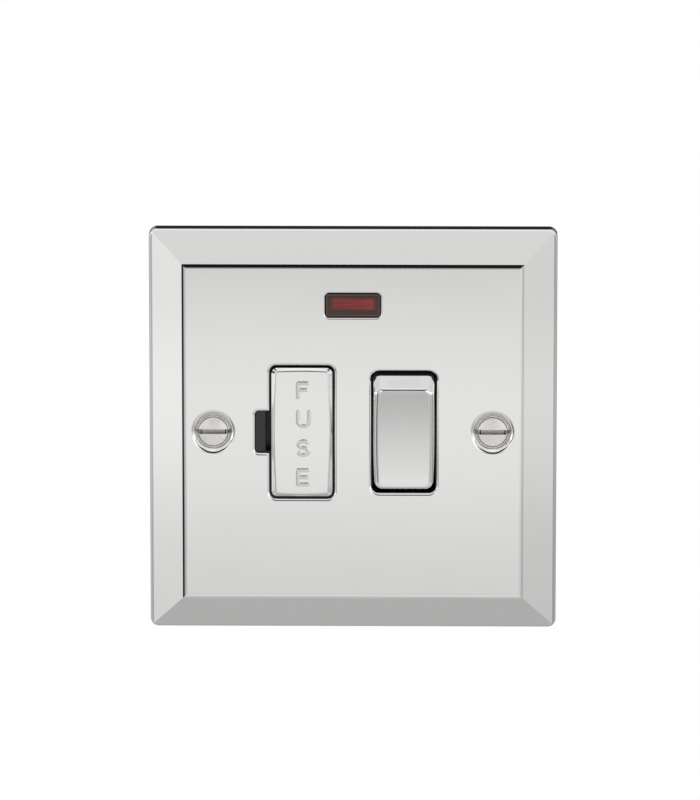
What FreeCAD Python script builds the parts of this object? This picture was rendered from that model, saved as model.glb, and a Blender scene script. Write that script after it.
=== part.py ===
"""Fused spur unit: a bevelled metal faceplate with a switched, fused connection unit behind it.

Frame: X to the right, Z up, and the face looks along -Y. The wall plane is Y = 0 and the origin is
the middle of the faceplate on that plane. Depths are counted from the wall plane: "front" sizes go
towards the room, "rear" sizes go into the wall box. All sizes are in millimetres.
"""
import FreeCAD, Part
import math
import os

import Sketcher
from FreeCAD import Placement, Rotation, Vector

SIZES = [
    # faceplate, a pressed sheet
    ("plate_size", 88.0, "side of the square faceplate"),
    ("plate_front", 7.0, "front panel of the faceplate, from the wall plane"),
    ("rim_height", 3.3, "straight rim, from the wall plane"),
    ("bevel_width", 7.6, "bevel, seen from the front"),
    ("sheet", 1.2, "thickness of the faceplate's sheet"),
    ("plate_corner", 1.8, "corner radius of the faceplate"),
    ("roll_radius", 2.2, "rolled edge between the bevel and the front panel"),
    ("hollow_corner", 0.45, "front corners of the hollow behind the panel"),
    ("plate_edge", 0.7, "rounding where the rim and the bevel meet"),
    ("cutout_edge", 0.4, "rounding of the cut-outs' front edges"),
    # cut-outs of the faceplate
    ("fuse_x", -11.0, "middle of the fuse carrier"),
    ("fuse_cutout_corner", 1.5, "cut-out of the fuse carrier"),
    ("notch_depth", 3.1, "screwdriver notch, out from the fuse cut-out"),
    ("notch_height", 9.2, "screwdriver notch"),
    ("notch_corner", 0.8, "screwdriver notch"),
    ("rocker_x", 11.0, "middle of the rocker"),
    ("rocker_cutout_corner", 1.7, "cut-out of the rocker"),
    ("neon_z", 27.9, "middle of the neon window"),
    ("neon_width", 12.0, "neon window"),
    ("neon_height", 5.35, "neon window"),
    ("neon_corner", 0.95, "neon window"),
    # fixing screws and their dimples
    ("fixing_centres", 60.3, "distance between the fixing screws"),
    ("screw_room", 5.15, "from a fixing screw's axis to the side of the mouldings"),
    ("fixing_radius", 1.75, "thread of a fixing screw"),
    ("fixing_neck", 1.5, "plain neck under the head of a fixing screw"),
    ("fixing_head", 3.5, "radius of a fixing screw's head"),
    ("fixing_head_flat", 3.0, "radius of the head's raised middle"),
    ("fixing_head_rim", 0.22, "height of the head's rim"),
    ("fixing_head_bevel", 0.3, "height of the bevel on the head's rim"),
    ("fixing_head_dome", 0.25, "height of the head's dome"),
    ("fixing_length", 25.0, "overall length of a fixing screw"),
    ("fixing_tip", 0.7, "chamfer at the tip of a fixing screw"),
    ("fixing_slot_width", 1.0, "slot of a fixing screw"),
    ("fixing_slot_depth", 1.3, "slot of a fixing screw, from the top of the head"),
    ("dimple_radius", 4.5, "mouth of a dimple"),
    ("dimple_hole", 1.95, "hole at the bottom of a dimple"),
    ("dimple_neck", 0.5, "length of that hole"),
    ("dimple_edge", 0.3, "rounding of the dimple's mouth"),
    ("seat_clearance", 0.02, "between a screw's cone and its dimple"),
    # the two mouldings
    ("housing_inset", 11.0, "mouldings, in from the plate's top and bottom edges"),
    ("housing_corner", 2.0, "corner radius of the mouldings"),
    ("housing_wall", 1.6, "outer walls of the mouldings"),
    ("front_wall", 1.8, "front wall of the front housing"),
    ("split_rear", 3.0, "joint between the front housing and the rear cover"),
    ("housing_rear", 21.5, "back of the rear cover"),
    ("cover_edge", 0.8, "chamfer round the back of the rear cover"),
    ("well_wall", 1.2, "walls of the wells and partitions"),
    ("chamber_wall", 1.0, "between the contact chamber and the terminal bays"),
    ("bay_room", 4.9, "bay, from the middle of a terminal towards the chamber"),
    ("strip_front", 10.4, "front face of the contact strips"),
    ("strip", 0.8, "thickness of the contact strips"),
    ("strip_width", 4.0, "width of the contact strips"),
    ("strip_clearance", 0.1, "between a strip and the sides of its slot"),
    ("core_depth", 7.6, "pockets that lighten the back of the rear cover"),
    ("core_rib", 1.6, "ribs between those pockets"),
    ("core_half_height", 12.4, "half height of those pockets"),
    # assembly screws and pillars
    ("pillar_inset", 3.9, "pillars, in from the sides of the mouldings"),
    ("pillar_z", 16.8, "pillars, from the middle"),
    ("pillar_radius", 2.2, "clinched pillar"),
    ("pillar_floor", 1.2, "solid end of the pillar, at the plate"),
    ("pillar_clearance", 0.05, "between the pillar and the front housing"),
    ("boss_radius", 3.8, "bosses round the pillars and screws"),
    ("screw_radius", 1.45, "thread of an assembly screw"),
    ("screw_clearance", 0.05, "between that thread and the pillar"),
    ("screw_hole_clearance", 0.2, "between that thread and the rear cover"),
    ("screw_head", 2.7, "radius of an assembly screw's head"),
    ("screw_head_height", 1.8, "head of an assembly screw"),
    ("screw_head_clearance", 0.2, "round the head in its counterbore"),
    ("screw_seat_rear", 7.0, "floor of the counterbores"),
    ("screw_end_gap", 0.6, "between a screw's tip and the end of its pillar's hole"),
    ("screw_slot_width", 0.8, "slot of an assembly or clamp screw"),
    ("screw_slot_depth", 0.8, "slot of an assembly or clamp screw"),
    # terminals
    ("terminal_inset", 7.6, "terminals, in from the ends of the mouldings"),
    ("outer_terminal_inset", 8.0, "outer terminals, in from the sides of the mouldings"),
    ("load_earth_x", 0.0, "load earth terminal"),
    ("supply_earth_x", -6.0, "supply earth terminal"),
    ("supply_live_x", 6.2, "supply live terminal"),
    ("block_width", 7.4, "brass terminal block"),
    ("block_height", 8.0, "brass terminal block, along its bore"),
    ("block_depth", 8.2, "brass terminal block, front to back"),
    ("block_corner", 0.6, "brass terminal block"),
    ("block_clearance", 0.5, "between a block and the sides of its bay"),
    ("bore_radius", 2.1, "wire bore of a terminal"),
    ("bore_depth", 3.3, "axis of the wire bore, from the block's front face"),
    ("clamp_radius", 1.7, "thread of a clamp screw"),
    ("clamp_clearance", 0.05, "between that thread and the block"),
    ("clamp_lift", 0.3, "screw backed out: tip clear of the wire bore"),
    ("clamp_head_lift", 0.3, "screw backed out: head clear of the block"),
    ("clamp_head", 2.6, "radius of a clamp screw's head"),
    ("clamp_head_height", 1.6, "head of a clamp screw"),
    # fuse and its clips
    ("fuse_length", 25.4, "cartridge fuse, over its caps"),
    ("fuse_cap_radius", 3.175, "caps of the fuse"),
    ("fuse_cap_length", 5.5, "caps of the fuse"),
    ("fuse_cap_wall", 0.35, "sheet of the caps"),
    ("fuse_cap_edge", 0.3, "rounding of the caps"),
    ("fuse_tube_radius", 2.8, "ceramic tube inside the caps, clear of their sheet"),
    ("fuse_body_radius", 3.0, "ceramic tube between the caps"),
    ("fuse_middle", 1.0, "axis of the fuse, behind the wall plane"),
    ("fuse_seat_clearance", 0.05, "round the fuse in the carrier"),
    ("clip_clearance", 0.05, "between the caps and the clips' jaws"),
    ("clip_sheet", 0.7, "sheet of the clips"),
    ("clip_inset", 0.3, "jaws, in from the end of the fuse"),
    ("clip_length", 5.0, "jaws, along the fuse"),
    ("clip_base_gap", 0.35, "between the fuse and the bottom of a clip"),
    ("clip_mouth", 1.7, "front end of the straight jaws, in front of the fuse's axis"),
    ("clip_lip", 0.8, "flared lips at the mouth of a clip"),
    # fuse carrier
    ("carrier_width", 13.1, "chrome face of the carrier"),
    ("carrier_height", 28.3, "chrome face of the carrier"),
    ("carrier_corner", 1.2, "chrome face of the carrier"),
    ("carrier_front", 7.3, "chrome face of the carrier, from the wall plane"),
    ("carrier_gap", 0.45, "between the chrome face and the sides of its cut-out"),
    ("carrier_end_gap", 0.55, "between the chrome face and the ends of its cut-out"),
    ("carrier_bevel", 0.45, "bevel round the chrome face, seen from the front"),
    ("carrier_bevel_depth", 0.4, "bevel round the chrome face, front to back"),
    ("carrier_bow", 0.4, "bow of the flat's long sides"),
    ("carrier_end_bow", 0.2, "bow of the flat's ends"),
    ("carrier_face_corner", 0.6, "corner radius of the flat"),
    ("carrier_edge", 0.2, "rounding of the flat"),
    ("cap_skirt", 2.2, "depth of the chrome face's skirt"),
    ("cap_sheet", 0.8, "wall of the chrome faces"),
    ("cap_clearance", 0.05, "between a chrome face and what carries it"),
    ("slide_clearance", 0.22, "between the carrier and its well"),
    ("slide_body_inset", 0.1, "black slide, in from the chrome face"),
    ("slide_head", 2.4, "thickness of the slide's head behind the skirt"),
    ("slide_end_wall", 1.15, "walls at the ends of the fuse"),
    ("slide_end_gap", 0.1, "between those walls and the fuse"),
    ("slide_end_half_width", 4.5, "half width of the end walls"),
    ("cheek_half_height", 5.6, "half height of the cheeks beside the fuse's tube"),
    ("cheek", 1.6, "thickness of the cheeks"),
    ("cheek_rear", 2.6, "back of the cheeks"),
    ("catch_depth", 0.7, "groove for the screwdriver in the slide's edge"),
    # screwdriver notch in the front housing
    ("ledge_clearance", 0.15, "between the ledge and the plate's notch"),
    ("ledge_front", 6.4, "front of the ledge, from the wall plane"),
    ("ledge_width", 2.05, "ledge beside the groove"),
    ("ledge_slope", 0.5, "fall of the ledge towards the groove"),
    ("groove_depth", 3.6, "groove for the screwdriver, behind the plate's panel"),
    # rocker
    ("pivot_rear", -0.1, "rocker's pivot, behind the wall plane"),
    ("rocker_tilt", 7.0, "tilt of the rocker at either end of its travel"),
    ("rocker_base_width", 13.1, "chrome face of the rocker at its skirt"),
    ("rocker_base_height", 26.6, "chrome face of the rocker at its skirt"),
    ("rocker_face_width", 12.2, "flat of the chrome face, over its bowed sides"),
    ("rocker_face_height", 22.8, "flat of the chrome face, over its bowed ends"),
    ("rocker_bow", 0.3, "bow of the flat's long sides"),
    ("rocker_end_bow", 0.1, "bow of the flat's ends"),
    ("rocker_face_corner", 1.2, "corner radius of the flat"),
    ("rocker_face", 9.0, "flat of the chrome face, from the pivot"),
    ("rocker_base", 5.8, "skirt of the chrome face, from the pivot"),
    ("rocker_corner", 1.5, "corner radius of the chrome face at its skirt"),
    ("rocker_edge", 0.6, "rounding of the flat"),
    ("rocker_cutout_gap", 0.475, "between the chrome face and the sides of its cut-out"),
    ("rocker_cutout_end_gap", 0.15, "between the chrome face and the ends of its cut-out"),
    ("rocker_sweep_inset", 0.41, "curved ends of the rocker, in from the swing of its skirt"),
    ("rocker_gap", 0.6, "between the curved ends and the well"),
    ("rocker_side_gap", 0.4, "between the rocker's sides and the well"),
    ("rocker_floor", 2.0, "back of the rocker's body, from the pivot"),
    ("rocker_wall", 1.3, "walls of the rocker's body"),
    ("trunnion_radius", 1.5, "rocker's trunnions"),
    ("trunnion_clearance", 0.05, "between a trunnion and its bearing"),
    ("trunnion_boss", 2.5, "cheeks that carry the trunnions"),
    # poles of the switch
    ("pole_offset", 3.3, "poles, from the middle of the rocker"),
    ("barrel_radius", 2.0, "plunger barrel, outside"),
    ("barrel_bore", 1.3, "plunger barrel, inside"),
    ("barrel_rear", 4.6, "back of a barrel, from the pivot"),
    ("barrel_floor", 0.5, "bottom of a barrel's bore, in front of the pivot"),
    ("plunger_clearance", 0.05, "between a plunger and its barrel"),
    ("plunger_front", 3.0, "shoulder that the spring presses on, behind the pivot"),
    ("plunger_pin", 0.55, "radius of the plunger's spring pin"),
    ("plunger_pin_length", 1.2, "plunger's spring pin"),
    ("plunger_tip", 0.9, "radius of the plunger's round tip"),
    ("plunger_reach", 7.8, "plunger's tip, from the pivot"),
    ("spring_wire", 0.15, "half the thickness of the spring's wire"),
    ("spring_radius", 0.95, "radius of the spring's coil"),
    ("spring_turns", 5.0, "turns of the spring"),
    ("spring_end_gap", 0.05, "between the spring and its seats"),
    ("seesaw_rear", 9.0, "axis that a see-saw contact rocks on"),
    ("seesaw_tilt", 6.0, "tilt of a see-saw contact at either end"),
    ("seesaw_sheet", 0.8, "thickness of a see-saw contact"),
    ("seesaw_lift", 0.3, "back of the see-saw contact, in front of its axis"),
    ("seesaw_width", 4.0, "see-saw contact"),
    ("seesaw_up", 8.5, "see-saw contact, above its axis"),
    ("seesaw_down", 7.5, "see-saw contact, below its axis"),
    ("seesaw_groove", 0.56, "groove in the see-saw contact"),
    ("knife_radius", 0.5, "rounded edge that the see-saw contact rocks on"),
    ("tip_z", 7.0, "silver tips, above the axis"),
    ("tip_radius", 1.2, "silver tips"),
    ("tip_height", 0.5, "silver tip of a see-saw contact, with its dome"),
    ("tip_dome", 0.3, "dome of that tip"),
    ("tip_stem", 0.7, "stem of a silver tip"),
    ("tip_stem_clearance", 0.02, "between a tip's stem and its hole"),
    ("tip_clinch", 0.3, "clinched end of a tip's stem"),
    ("fixed_tip_height", 0.4, "fixed silver tip"),
    # earth strap
    ("strap_width", 4.0, "earth strap"),
    ("strap_foot", 6.8, "width of its feet"),
    ("strap_leg_inset", 1.0, "legs of the earth strap, in from the middle of their terminals"),
    ("strap_jog_z", 17.2, "sideways run to the supply earth terminal"),
    ("strap_eye", 2.4, "eye under the pillar, from its screw"),
    # neon indicator
    ("lens_clearance", 0.1, "between the lens and its window"),
    ("lens_front", 6.75, "face of the lens, from the wall plane"),
    ("lens_flange", 1.1, "flange of the lens, wider than its window each side"),
    ("lens_flange_height", 0.55, "flange of the lens, above and below its window"),
    ("lens_flange_depth", 1.1, "flange of the lens"),
    ("lens_hollow_width", 9.5, "hollow behind the lens"),
    ("lens_hollow_height", 2.7, "hollow behind the lens"),
    ("lens_face", 1.0, "thickness of the lens in front of its hollow"),
    ("lens_rib", 0.25, "ribs inside the lens"),
    ("lens_ribs", 3.0, "number of ribs inside the lens"),
    ("lamp_radius", 2.0, "neon lamp"),
    ("lamp_length", 9.0, "neon lamp"),
    ("lamp_shoulder", 0.8, "tapered ends of the lamp"),
    ("lamp_front", 1.6, "axis of the lamp, in front of the wall plane"),
    ("lamp_seat_clearance", 0.05, "round the lamp in its saddles"),
    ("saddle", 1.2, "thickness of the saddles"),
    ("saddle_x", 3.0, "saddles of the lamp, from the middle"),
    ("resistor_radius", 1.2, "resistor"),
    ("resistor_length", 6.3, "resistor"),
    ("resistor_waist", 0.2, "resistor, thinner between its end caps"),
    ("resistor_cap", 1.3, "end caps of the resistor"),
    ("resistor_x", 9.0, "middle of the resistor"),
    ("lead_radius", 0.3, "leads of the lamp"),
    ("lead_x", 14.6, "leads, where they run back"),
    ("lead_bend", 1.0, "bends of the leads"),
    ("lead_clearance", 0.15, "round a lead in the rear cover"),
]


class Size:
    """A length or a formula of lengths, kept both as a number and as the text that binds it."""

    def __init__(self, value, text):
        self.value = value
        self.text = text

    def __add__(self, other):
        other = as_size(other)
        return Size(self.value + other.value, f"({self.text} + {other.text})")

    def __sub__(self, other):
        other = as_size(other)
        return Size(self.value - other.value, f"({self.text} - {other.text})")

    def __mul__(self, other):
        other = as_size(other)
        return Size(self.value * other.value, f"({self.text} * {other.text})")

    def __truediv__(self, other):
        other = as_size(other)
        return Size(self.value / other.value, f"({self.text} / {other.text})")

    def __radd__(self, other):
        return as_size(other) + self

    def __rsub__(self, other):
        return as_size(other) - self

    def __rmul__(self, other):
        return as_size(other) * self

    def __neg__(self):
        return Size(-self.value, f"(0 - {self.text})")


def as_size(number):
    return number if isinstance(number, Size) else Size(float(number), repr(number))


def root(size):
    return Size(math.sqrt(size.value), f"sqrt({size.text})")


class SizeSheet:
    """The document's spreadsheet; each alias reads back as a Size."""

    def __init__(self, document, rows):
        self.cells = document.addObject("Spreadsheet::Sheet", "sizes")
        for row, (alias, value, note) in enumerate(rows, start=1):
            self.cells.set(f"A{row}", note)
            self.cells.set(f"B{row}", str(value))
            self.cells.setAlias(f"B{row}", alias)
        document.recompute()

    def __getattr__(self, alias):
        return Size(float(self.cells.get(alias)), f"sizes.{alias}")


document = FreeCAD.newDocument("fused_spur_unit")
s = SizeSheet(document, SIZES)
bodies = []

# places that follow from the sizes above
s.housing_width = s.fixing_centres - s.screw_room * 2
s.housing_height = s.plate_size - s.housing_inset * 2
s.pillar_x = s.housing_width / 2 - s.pillar_inset
s.terminal_z = s.housing_height / 2 - s.terminal_inset
s.bay_start = s.terminal_z - s.bay_room
s.cavity_half_height = s.bay_start - s.chamber_wall
s.strap_leg_z = s.terminal_z - s.strap_leg_inset
s.load_neutral_x = s.housing_width / 2 - s.outer_terminal_inset
s.supply_neutral_x = s.load_neutral_x
s.load_live_x = -s.load_neutral_x
s.fuse_cutout_width = s.carrier_width + s.carrier_gap * 2
s.fuse_cutout_height = s.carrier_height + s.carrier_end_gap * 2
s.rocker_cutout_width = s.rocker_base_width + s.rocker_cutout_gap * 2
s.rocker_cutout_height = s.rocker_base_height + s.rocker_cutout_end_gap * 2
skirt_reach = s.rocker_base_height / 2
skirt_swing = root(skirt_reach * skirt_reach + s.rocker_base * s.rocker_base)
s.rocker_sweep = skirt_swing - s.rocker_sweep_inset


def bind(item, path, size):
    """Binds one property of an object to a size."""
    item.setExpression(path, as_size(size).text)


def new_body(name, x=0, y=0, z=0, turn=None, turn_axis=(1, 0, 0)):
    """One sub-part, with its own origin at x, y, z and an optional turn about turn_axis."""
    body = document.addObject("PartDesign::Body", name)
    body.Label = name
    angle = as_size(turn).value if turn is not None else 0
    base = Vector(as_size(x).value, as_size(y).value, as_size(z).value)
    body.Placement = Placement(base, Rotation(Vector(*turn_axis), angle))
    for axis, size in zip("xyz", (x, y, z)):
        bind(body, f"Placement.Base.{axis}", size)
    if turn is not None:
        bind(body, "Placement.Rotation.Angle", turn)
    bodies.append(body)
    return body


class Drawing:
    """A sketch on one of the body's own planes: front (X, Z), top (X, Y) or side (Y, Z).

    The front plane looks towards the room, so its offset is a front depth.
    """

    PLANES = {"front": "XZ_Plane", "top": "XY_Plane", "side": "YZ_Plane"}

    def __init__(self, body, name, plane, offset=0, shift=0):
        self.sketch = body.newObject("Sketcher::SketchObject", f"{body.Name}_{name}")
        role = self.PLANES[plane]
        support = next(f for f in body.Origin.OriginFeatures if f.Role == role)
        self.sketch.AttachmentSupport = [(support, "")]
        self.sketch.MapMode = "FlatFace"
        bind(self.sketch, "AttachmentOffset.Base.z", offset)
        bind(self.sketch, "AttachmentOffset.Base.x", shift)

    def constrain(self, size, *terms):
        index = self.sketch.addConstraint(Sketcher.Constraint(*terms, as_size(size).value))
        self.sketch.setExpression(f"Constraints[{index}]", as_size(size).text)

    def pin(self, element, end, x, y):
        """Holds one end of an element at x, y."""
        for size, axis, kind in ((x, -2, "DistanceX"), (y, -1, "DistanceY")):
            if isinstance(size, Size):
                self.constrain(size, kind, -1, 1, element, end)
            elif size == 0:
                self.sketch.addConstraint(Sketcher.Constraint("PointOnObject", element, end, axis))
            else:
                self.constrain(size, kind, -1, 1, element, end)

    def circle(self, x, y, radius):
        centre = Vector(as_size(x).value, as_size(y).value, 0)
        element = self.sketch.addGeometry(Part.Circle(centre, Vector(0, 0, 1), as_size(radius).value))
        self.pin(element, 3, x, y)
        self.constrain(radius, "Radius", element)
        return self

    def outline(self, *points, closed=True):
        """An outline. A point is (x, y) after a straight run, or (x, y, radius, side) after an
        arc, whose centre lies to the left of the run for side 1 and to the right for side -1."""
        runs = []
        count = len(points)
        for index in range(count if closed else count - 1):
            point = points[index]
            following = points[(index + 1) % count]
            first = Vector(as_size(point[0]).value, as_size(point[1]).value, 0)
            last = Vector(as_size(following[0]).value, as_size(following[1]).value, 0)
            if len(following) == 2:
                element = self.sketch.addGeometry(Part.LineSegment(first, last))
                runs.append((element, 1, 2))
                continue
            radius, side = following[2], following[3]
            element = self.sketch.addGeometry(arc_between(first, last, as_size(radius).value, side))
            runs.append((element, 1, 2) if side > 0 else (element, 2, 1))
            self.constrain(radius, "Radius", element)
        for index, (element, start, end) in enumerate(runs):
            self.pin(element, start, points[index][0], points[index][1])
            if not closed and index == len(runs) - 1:
                self.pin(element, end, points[-1][0], points[-1][1])
                continue
            after, after_start, _ = runs[(index + 1) % count]
            self.sketch.addConstraint(
                Sketcher.Constraint("Coincident", element, end, after, after_start)
            )
        return self

    def rectangle(self, x, y, width, height, radius=None):
        """A rectangle round its middle x, y, with round corners where a radius is given."""
        left, right = x - width / 2, x + width / 2
        low, high = y - height / 2, y + height / 2
        if radius is None:
            return self.outline((left, low), (right, low), (right, high), (left, high))
        return self.outline(
            (left + radius, low, radius, 1),
            (right - radius, low),
            (right, low + radius, radius, 1),
            (right, high - radius),
            (right - radius, high, radius, 1),
            (left + radius, high),
            (left, high - radius, radius, 1),
            (left, low + radius),
        )

    def bowed(self, width, height, side_bow, end_bow, corner):
        """A rectangle round the middle whose sides bow outwards. Its width and height are taken
        over the bows."""
        side_x, end_y = width / 2 - side_bow, height / 2 - end_bow
        side_y, end_x = end_y - corner, side_x - corner
        side, end = dome(side_y, side_bow), dome(end_x, end_bow)
        return self.outline(
            (-end_x, -end_y, corner, 1),
            (end_x, -end_y, end, 1),
            (side_x, -side_y, corner, 1),
            (side_x, side_y, side, 1),
            (end_x, end_y, corner, 1),
            (-end_x, end_y, end, 1),
            (-side_x, side_y, corner, 1),
            (-side_x, -side_y, side, 1),
        )

    def box(self, left, right, low, high):
        """A rectangle between two corners."""
        return self.outline((left, low), (right, low), (right, high), (left, high))


def arc_between(first, last, radius, side):
    """The short arc of this radius from first to last, always listed counter-clockwise."""
    run = last - first
    middle = (first + last) * 0.5
    left = Vector(-run.y, run.x, 0).normalize()
    reach = math.sqrt(max(radius**2 - (run.Length / 2) ** 2, 0))
    centre = middle + left * (side * reach)
    start, end = (first, last) if side > 0 else (last, first)
    angles = [math.atan2(p.y - centre.y, p.x - centre.x) for p in (start, end)]
    return Part.ArcOfCircle(Part.Circle(centre, Vector(0, 0, 1), radius), *angles)


def feature(body, kind, name, profile):
    item = body.newObject(f"PartDesign::{kind}", f"{body.Name}_{name}")
    item.Profile = (profile.sketch, [""])
    return item


def pad(body, name, profile, length, backwards=False, symmetric=False):
    item = feature(body, "Pad", name, profile)
    bind(item, "Length", length)
    item.Reversed = backwards
    if symmetric:
        item.SideType = "Symmetric"
    return item


def pocket(body, name, profile, length=None, backwards=False, symmetric=False):
    """Cuts against the sketch's normal, or along it when backwards; right through with no length."""
    item = feature(body, "Pocket", name, profile)
    item.Reversed = backwards
    if length is None:
        item.Type = "ThroughAll"
    else:
        bind(item, "Length", length)
    if symmetric:
        item.SideType = "Symmetric"
    return item


def turned(body, name, profile, axis="V_Axis", cut=False):
    """A full turn of the profile about its sketch's own axis."""
    item = feature(body, "Groove" if cut else "Revolution", name, profile)
    item.ReferenceAxis = (profile.sketch, [axis])
    item.Angle = 360
    return item


def loft(body, name, first, last, cut=False):
    item = feature(body, "SubtractiveLoft" if cut else "AdditiveLoft", name, first)
    item.Sections = [(last.sketch, [""])]
    item.Ruled = True
    return item


def edges_where(body, test):
    """Names of the body's edges, as it stands, whose points all pass the test."""
    document.recompute()
    shape = body.Tip.Shape
    found = []
    for number, edge in enumerate(shape.Edges, start=1):
        first, last = edge.ParameterRange
        points = [edge.valueAt(first + (last - first) * share) for share in (0, 0.3, 0.7, 1)]
        if all(test(point) for point in points):
            found.append(f"Edge{number}")
    return body.Tip, found


def rounded(body, name, radius, test):
    base = edges_where(body, test)
    item = body.newObject("PartDesign::Fillet", f"{body.Name}_{name}")
    item.Base = base
    bind(item, "Radius", radius)
    return item


def chamfered(body, name, size, test):
    base = edges_where(body, test)
    item = body.newObject("PartDesign::Chamfer", f"{body.Name}_{name}")
    item.Base = base
    bind(item, "Size", size)
    return item


def near(one, other):
    return abs(one - as_size(other).value) < 1e-4


def dome(edge_radius, height):
    """Radius of the sphere or arc that rises by this height within this edge radius."""
    return (edge_radius * edge_radius + height * height) / (height * 2)


SIDES = (("left", -1), ("right", 1))
POLES = (("live", -1), ("neutral", 1))


def bevel_points():
    """The plate's front edge in section, from the panel outward: each point is (out, depth), out
    being the distance from the plate's middle. The edge between panel and bevel is rolled."""
    rise = s.plate_front - s.rim_height
    slant = root(rise * rise + s.bevel_width * s.bevel_width)
    half = s.plate_size / 2
    corner = half - s.bevel_width
    reach = s.roll_radius * (slant - s.bevel_width) / rise
    return (
        (corner - reach, s.plate_front),
        (corner + reach * s.bevel_width / slant, s.plate_front - reach * rise / slant),
        (half, s.rim_height),
        (half + s.bevel_width, s.rim_height - rise),
    )


def make_faceplate():
    """Pressed from one sheet: a rim, a bevel and a front panel, hollow behind.

    The panel is cut out for the fuse carrier, the rocker and the neon lens. Two conical dimples
    take the fixing screws' heads.
    """
    body = new_body("faceplate")
    rise = s.plate_front - s.rim_height
    slant = root(rise * rise + s.bevel_width * s.bevel_width)
    panel = s.plate_size - s.bevel_width * 2
    half = s.plate_size / 2
    start, finish, foot, beyond = bevel_points()
    across = Drawing(body, "across", "side")
    across.outline(
        (0, -half),
        (-foot[1], -half),
        (-finish[1], -finish[0]),
        (-start[1], -start[0], s.roll_radius, -1),
        (-start[1], start[0]),
        (-finish[1], finish[0], s.roll_radius, -1),
        (-foot[1], half),
        (0, half),
    )
    pad(body, "blank", across, s.plate_size, symmetric=True)
    flanks = Drawing(body, "flanks", "top")
    above = s.plate_front + s.bevel_width
    for sign in (-1, 1):
        flanks.outline(
            (start[0] * sign, -above),
            (start[0] * sign, -start[1]),
            (finish[0] * sign, -finish[1], s.roll_radius, sign),
            (beyond[0] * sign, -beyond[1]),
            (beyond[0] * sign, -above),
        )
    pocket(body, "flanks_cut", flanks, s.plate_size * 2, symmetric=True)

    def on_corner(point):
        return near(abs(point.x), half) and near(abs(point.z), half)

    rounded(body, "corners", s.plate_corner, on_corner)
    # the hollow is the outside moved in by the sheet
    inner_corner = s.plate_corner - s.sheet
    hollow_rim = s.plate_size - s.sheet * 2
    hollow_depth = s.rim_height - s.sheet * (slant - rise) / s.bevel_width
    inset = (s.sheet * slant + (rise - s.sheet) * s.bevel_width) / rise
    hollow_panel = s.plate_size - inset * 2
    hollow_back = Drawing(body, "hollow_back", "front")
    hollow_back.rectangle(0, 0, hollow_rim, hollow_rim, inner_corner)
    pocket(body, "hollow_rim", hollow_back, hollow_depth, backwards=True)
    hollow_start = Drawing(body, "hollow_start", "front", hollow_depth)
    hollow_start.rectangle(0, 0, hollow_rim, hollow_rim, inner_corner)
    hollow_end = Drawing(body, "hollow_end", "front", s.plate_front - s.sheet)
    hollow_end.rectangle(0, 0, hollow_panel, hollow_panel, s.hollow_corner)
    loft(body, "hollow_bevel", hollow_start, hollow_end, cut=True)
    windows = Drawing(body, "windows", "front", s.plate_front)
    windows.rectangle(
        s.fuse_x, 0, s.fuse_cutout_width, s.fuse_cutout_height, s.fuse_cutout_corner
    )
    windows.rectangle(
        s.rocker_x, 0, s.rocker_cutout_width, s.rocker_cutout_height, s.rocker_cutout_corner
    )
    windows.rectangle(0, s.neon_z, s.neon_width, s.neon_height, s.neon_corner)
    pocket(body, "windows_cut", windows)
    notch_right = s.fuse_x - s.fuse_cutout_width / 2
    notch = Drawing(body, "notch", "front", s.plate_front)
    # runs on into the cut-out by its corner radius, so that only the outer corners are round
    notch.rectangle(
        notch_right - (s.notch_depth - s.notch_corner) / 2,
        0,
        s.notch_depth + s.notch_corner,
        s.notch_height,
        s.notch_corner,
    )
    pocket(body, "notch_cut", notch)
    dimple_back = s.plate_front - (s.dimple_radius - s.dimple_hole) - s.dimple_neck
    sheet_back = s.plate_front - s.sheet
    slant_sheet = s.sheet * math.sqrt(2)
    for side, sign in SIDES:
        middle = s.fixing_centres / 2 * sign
        cone = Drawing(body, f"dimple_{side}", "top", shift=middle)
        cone.outline(
            (0, -sheet_back),
            (s.dimple_radius - s.sheet + slant_sheet, -sheet_back),
            (s.dimple_radius - (s.plate_front - dimple_back) + slant_sheet, -dimple_back),
            (0, -dimple_back),
        )
        turned(body, f"dimple_wall_{side}", cone)
        seat = Drawing(body, f"seat_{side}", "top", shift=middle)
        seat.outline(
            (0, -s.plate_front),
            (s.dimple_radius, -s.plate_front),
            (s.dimple_hole, -(dimple_back + s.dimple_neck)),
            (s.dimple_hole, -dimple_back),
            (0, -dimple_back),
        )
        turned(body, f"dimple_seat_{side}", seat, cut=True)
    panel_half = panel.value / 2

    def on_panel(point):
        return near(-point.y, s.plate_front)

    def on_cutout(point):
        inside = max(abs(point.x), abs(point.z)) < panel_half - 1
        return on_panel(point) and inside and not on_dimple(point)

    def on_dimple(point):
        middle = s.fixing_centres.value / 2
        return on_panel(point) and near(math.hypot(abs(point.x) - middle, point.z), s.dimple_radius)

    def on_outer_edge(point):
        reach = max(abs(point.x), abs(point.z))
        rise_there = -point.y - s.rim_height.value
        return reach > panel_half + s.bevel_width.value / 2 and -1e-4 < rise_there < s.plate_corner.value / 2

    rounded(body, "cutout_edges", s.cutout_edge, on_cutout)
    rounded(body, "dimple_edges", s.dimple_edge, on_dimple)
    rounded(body, "outer_edges", s.plate_edge, on_outer_edge)


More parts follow.
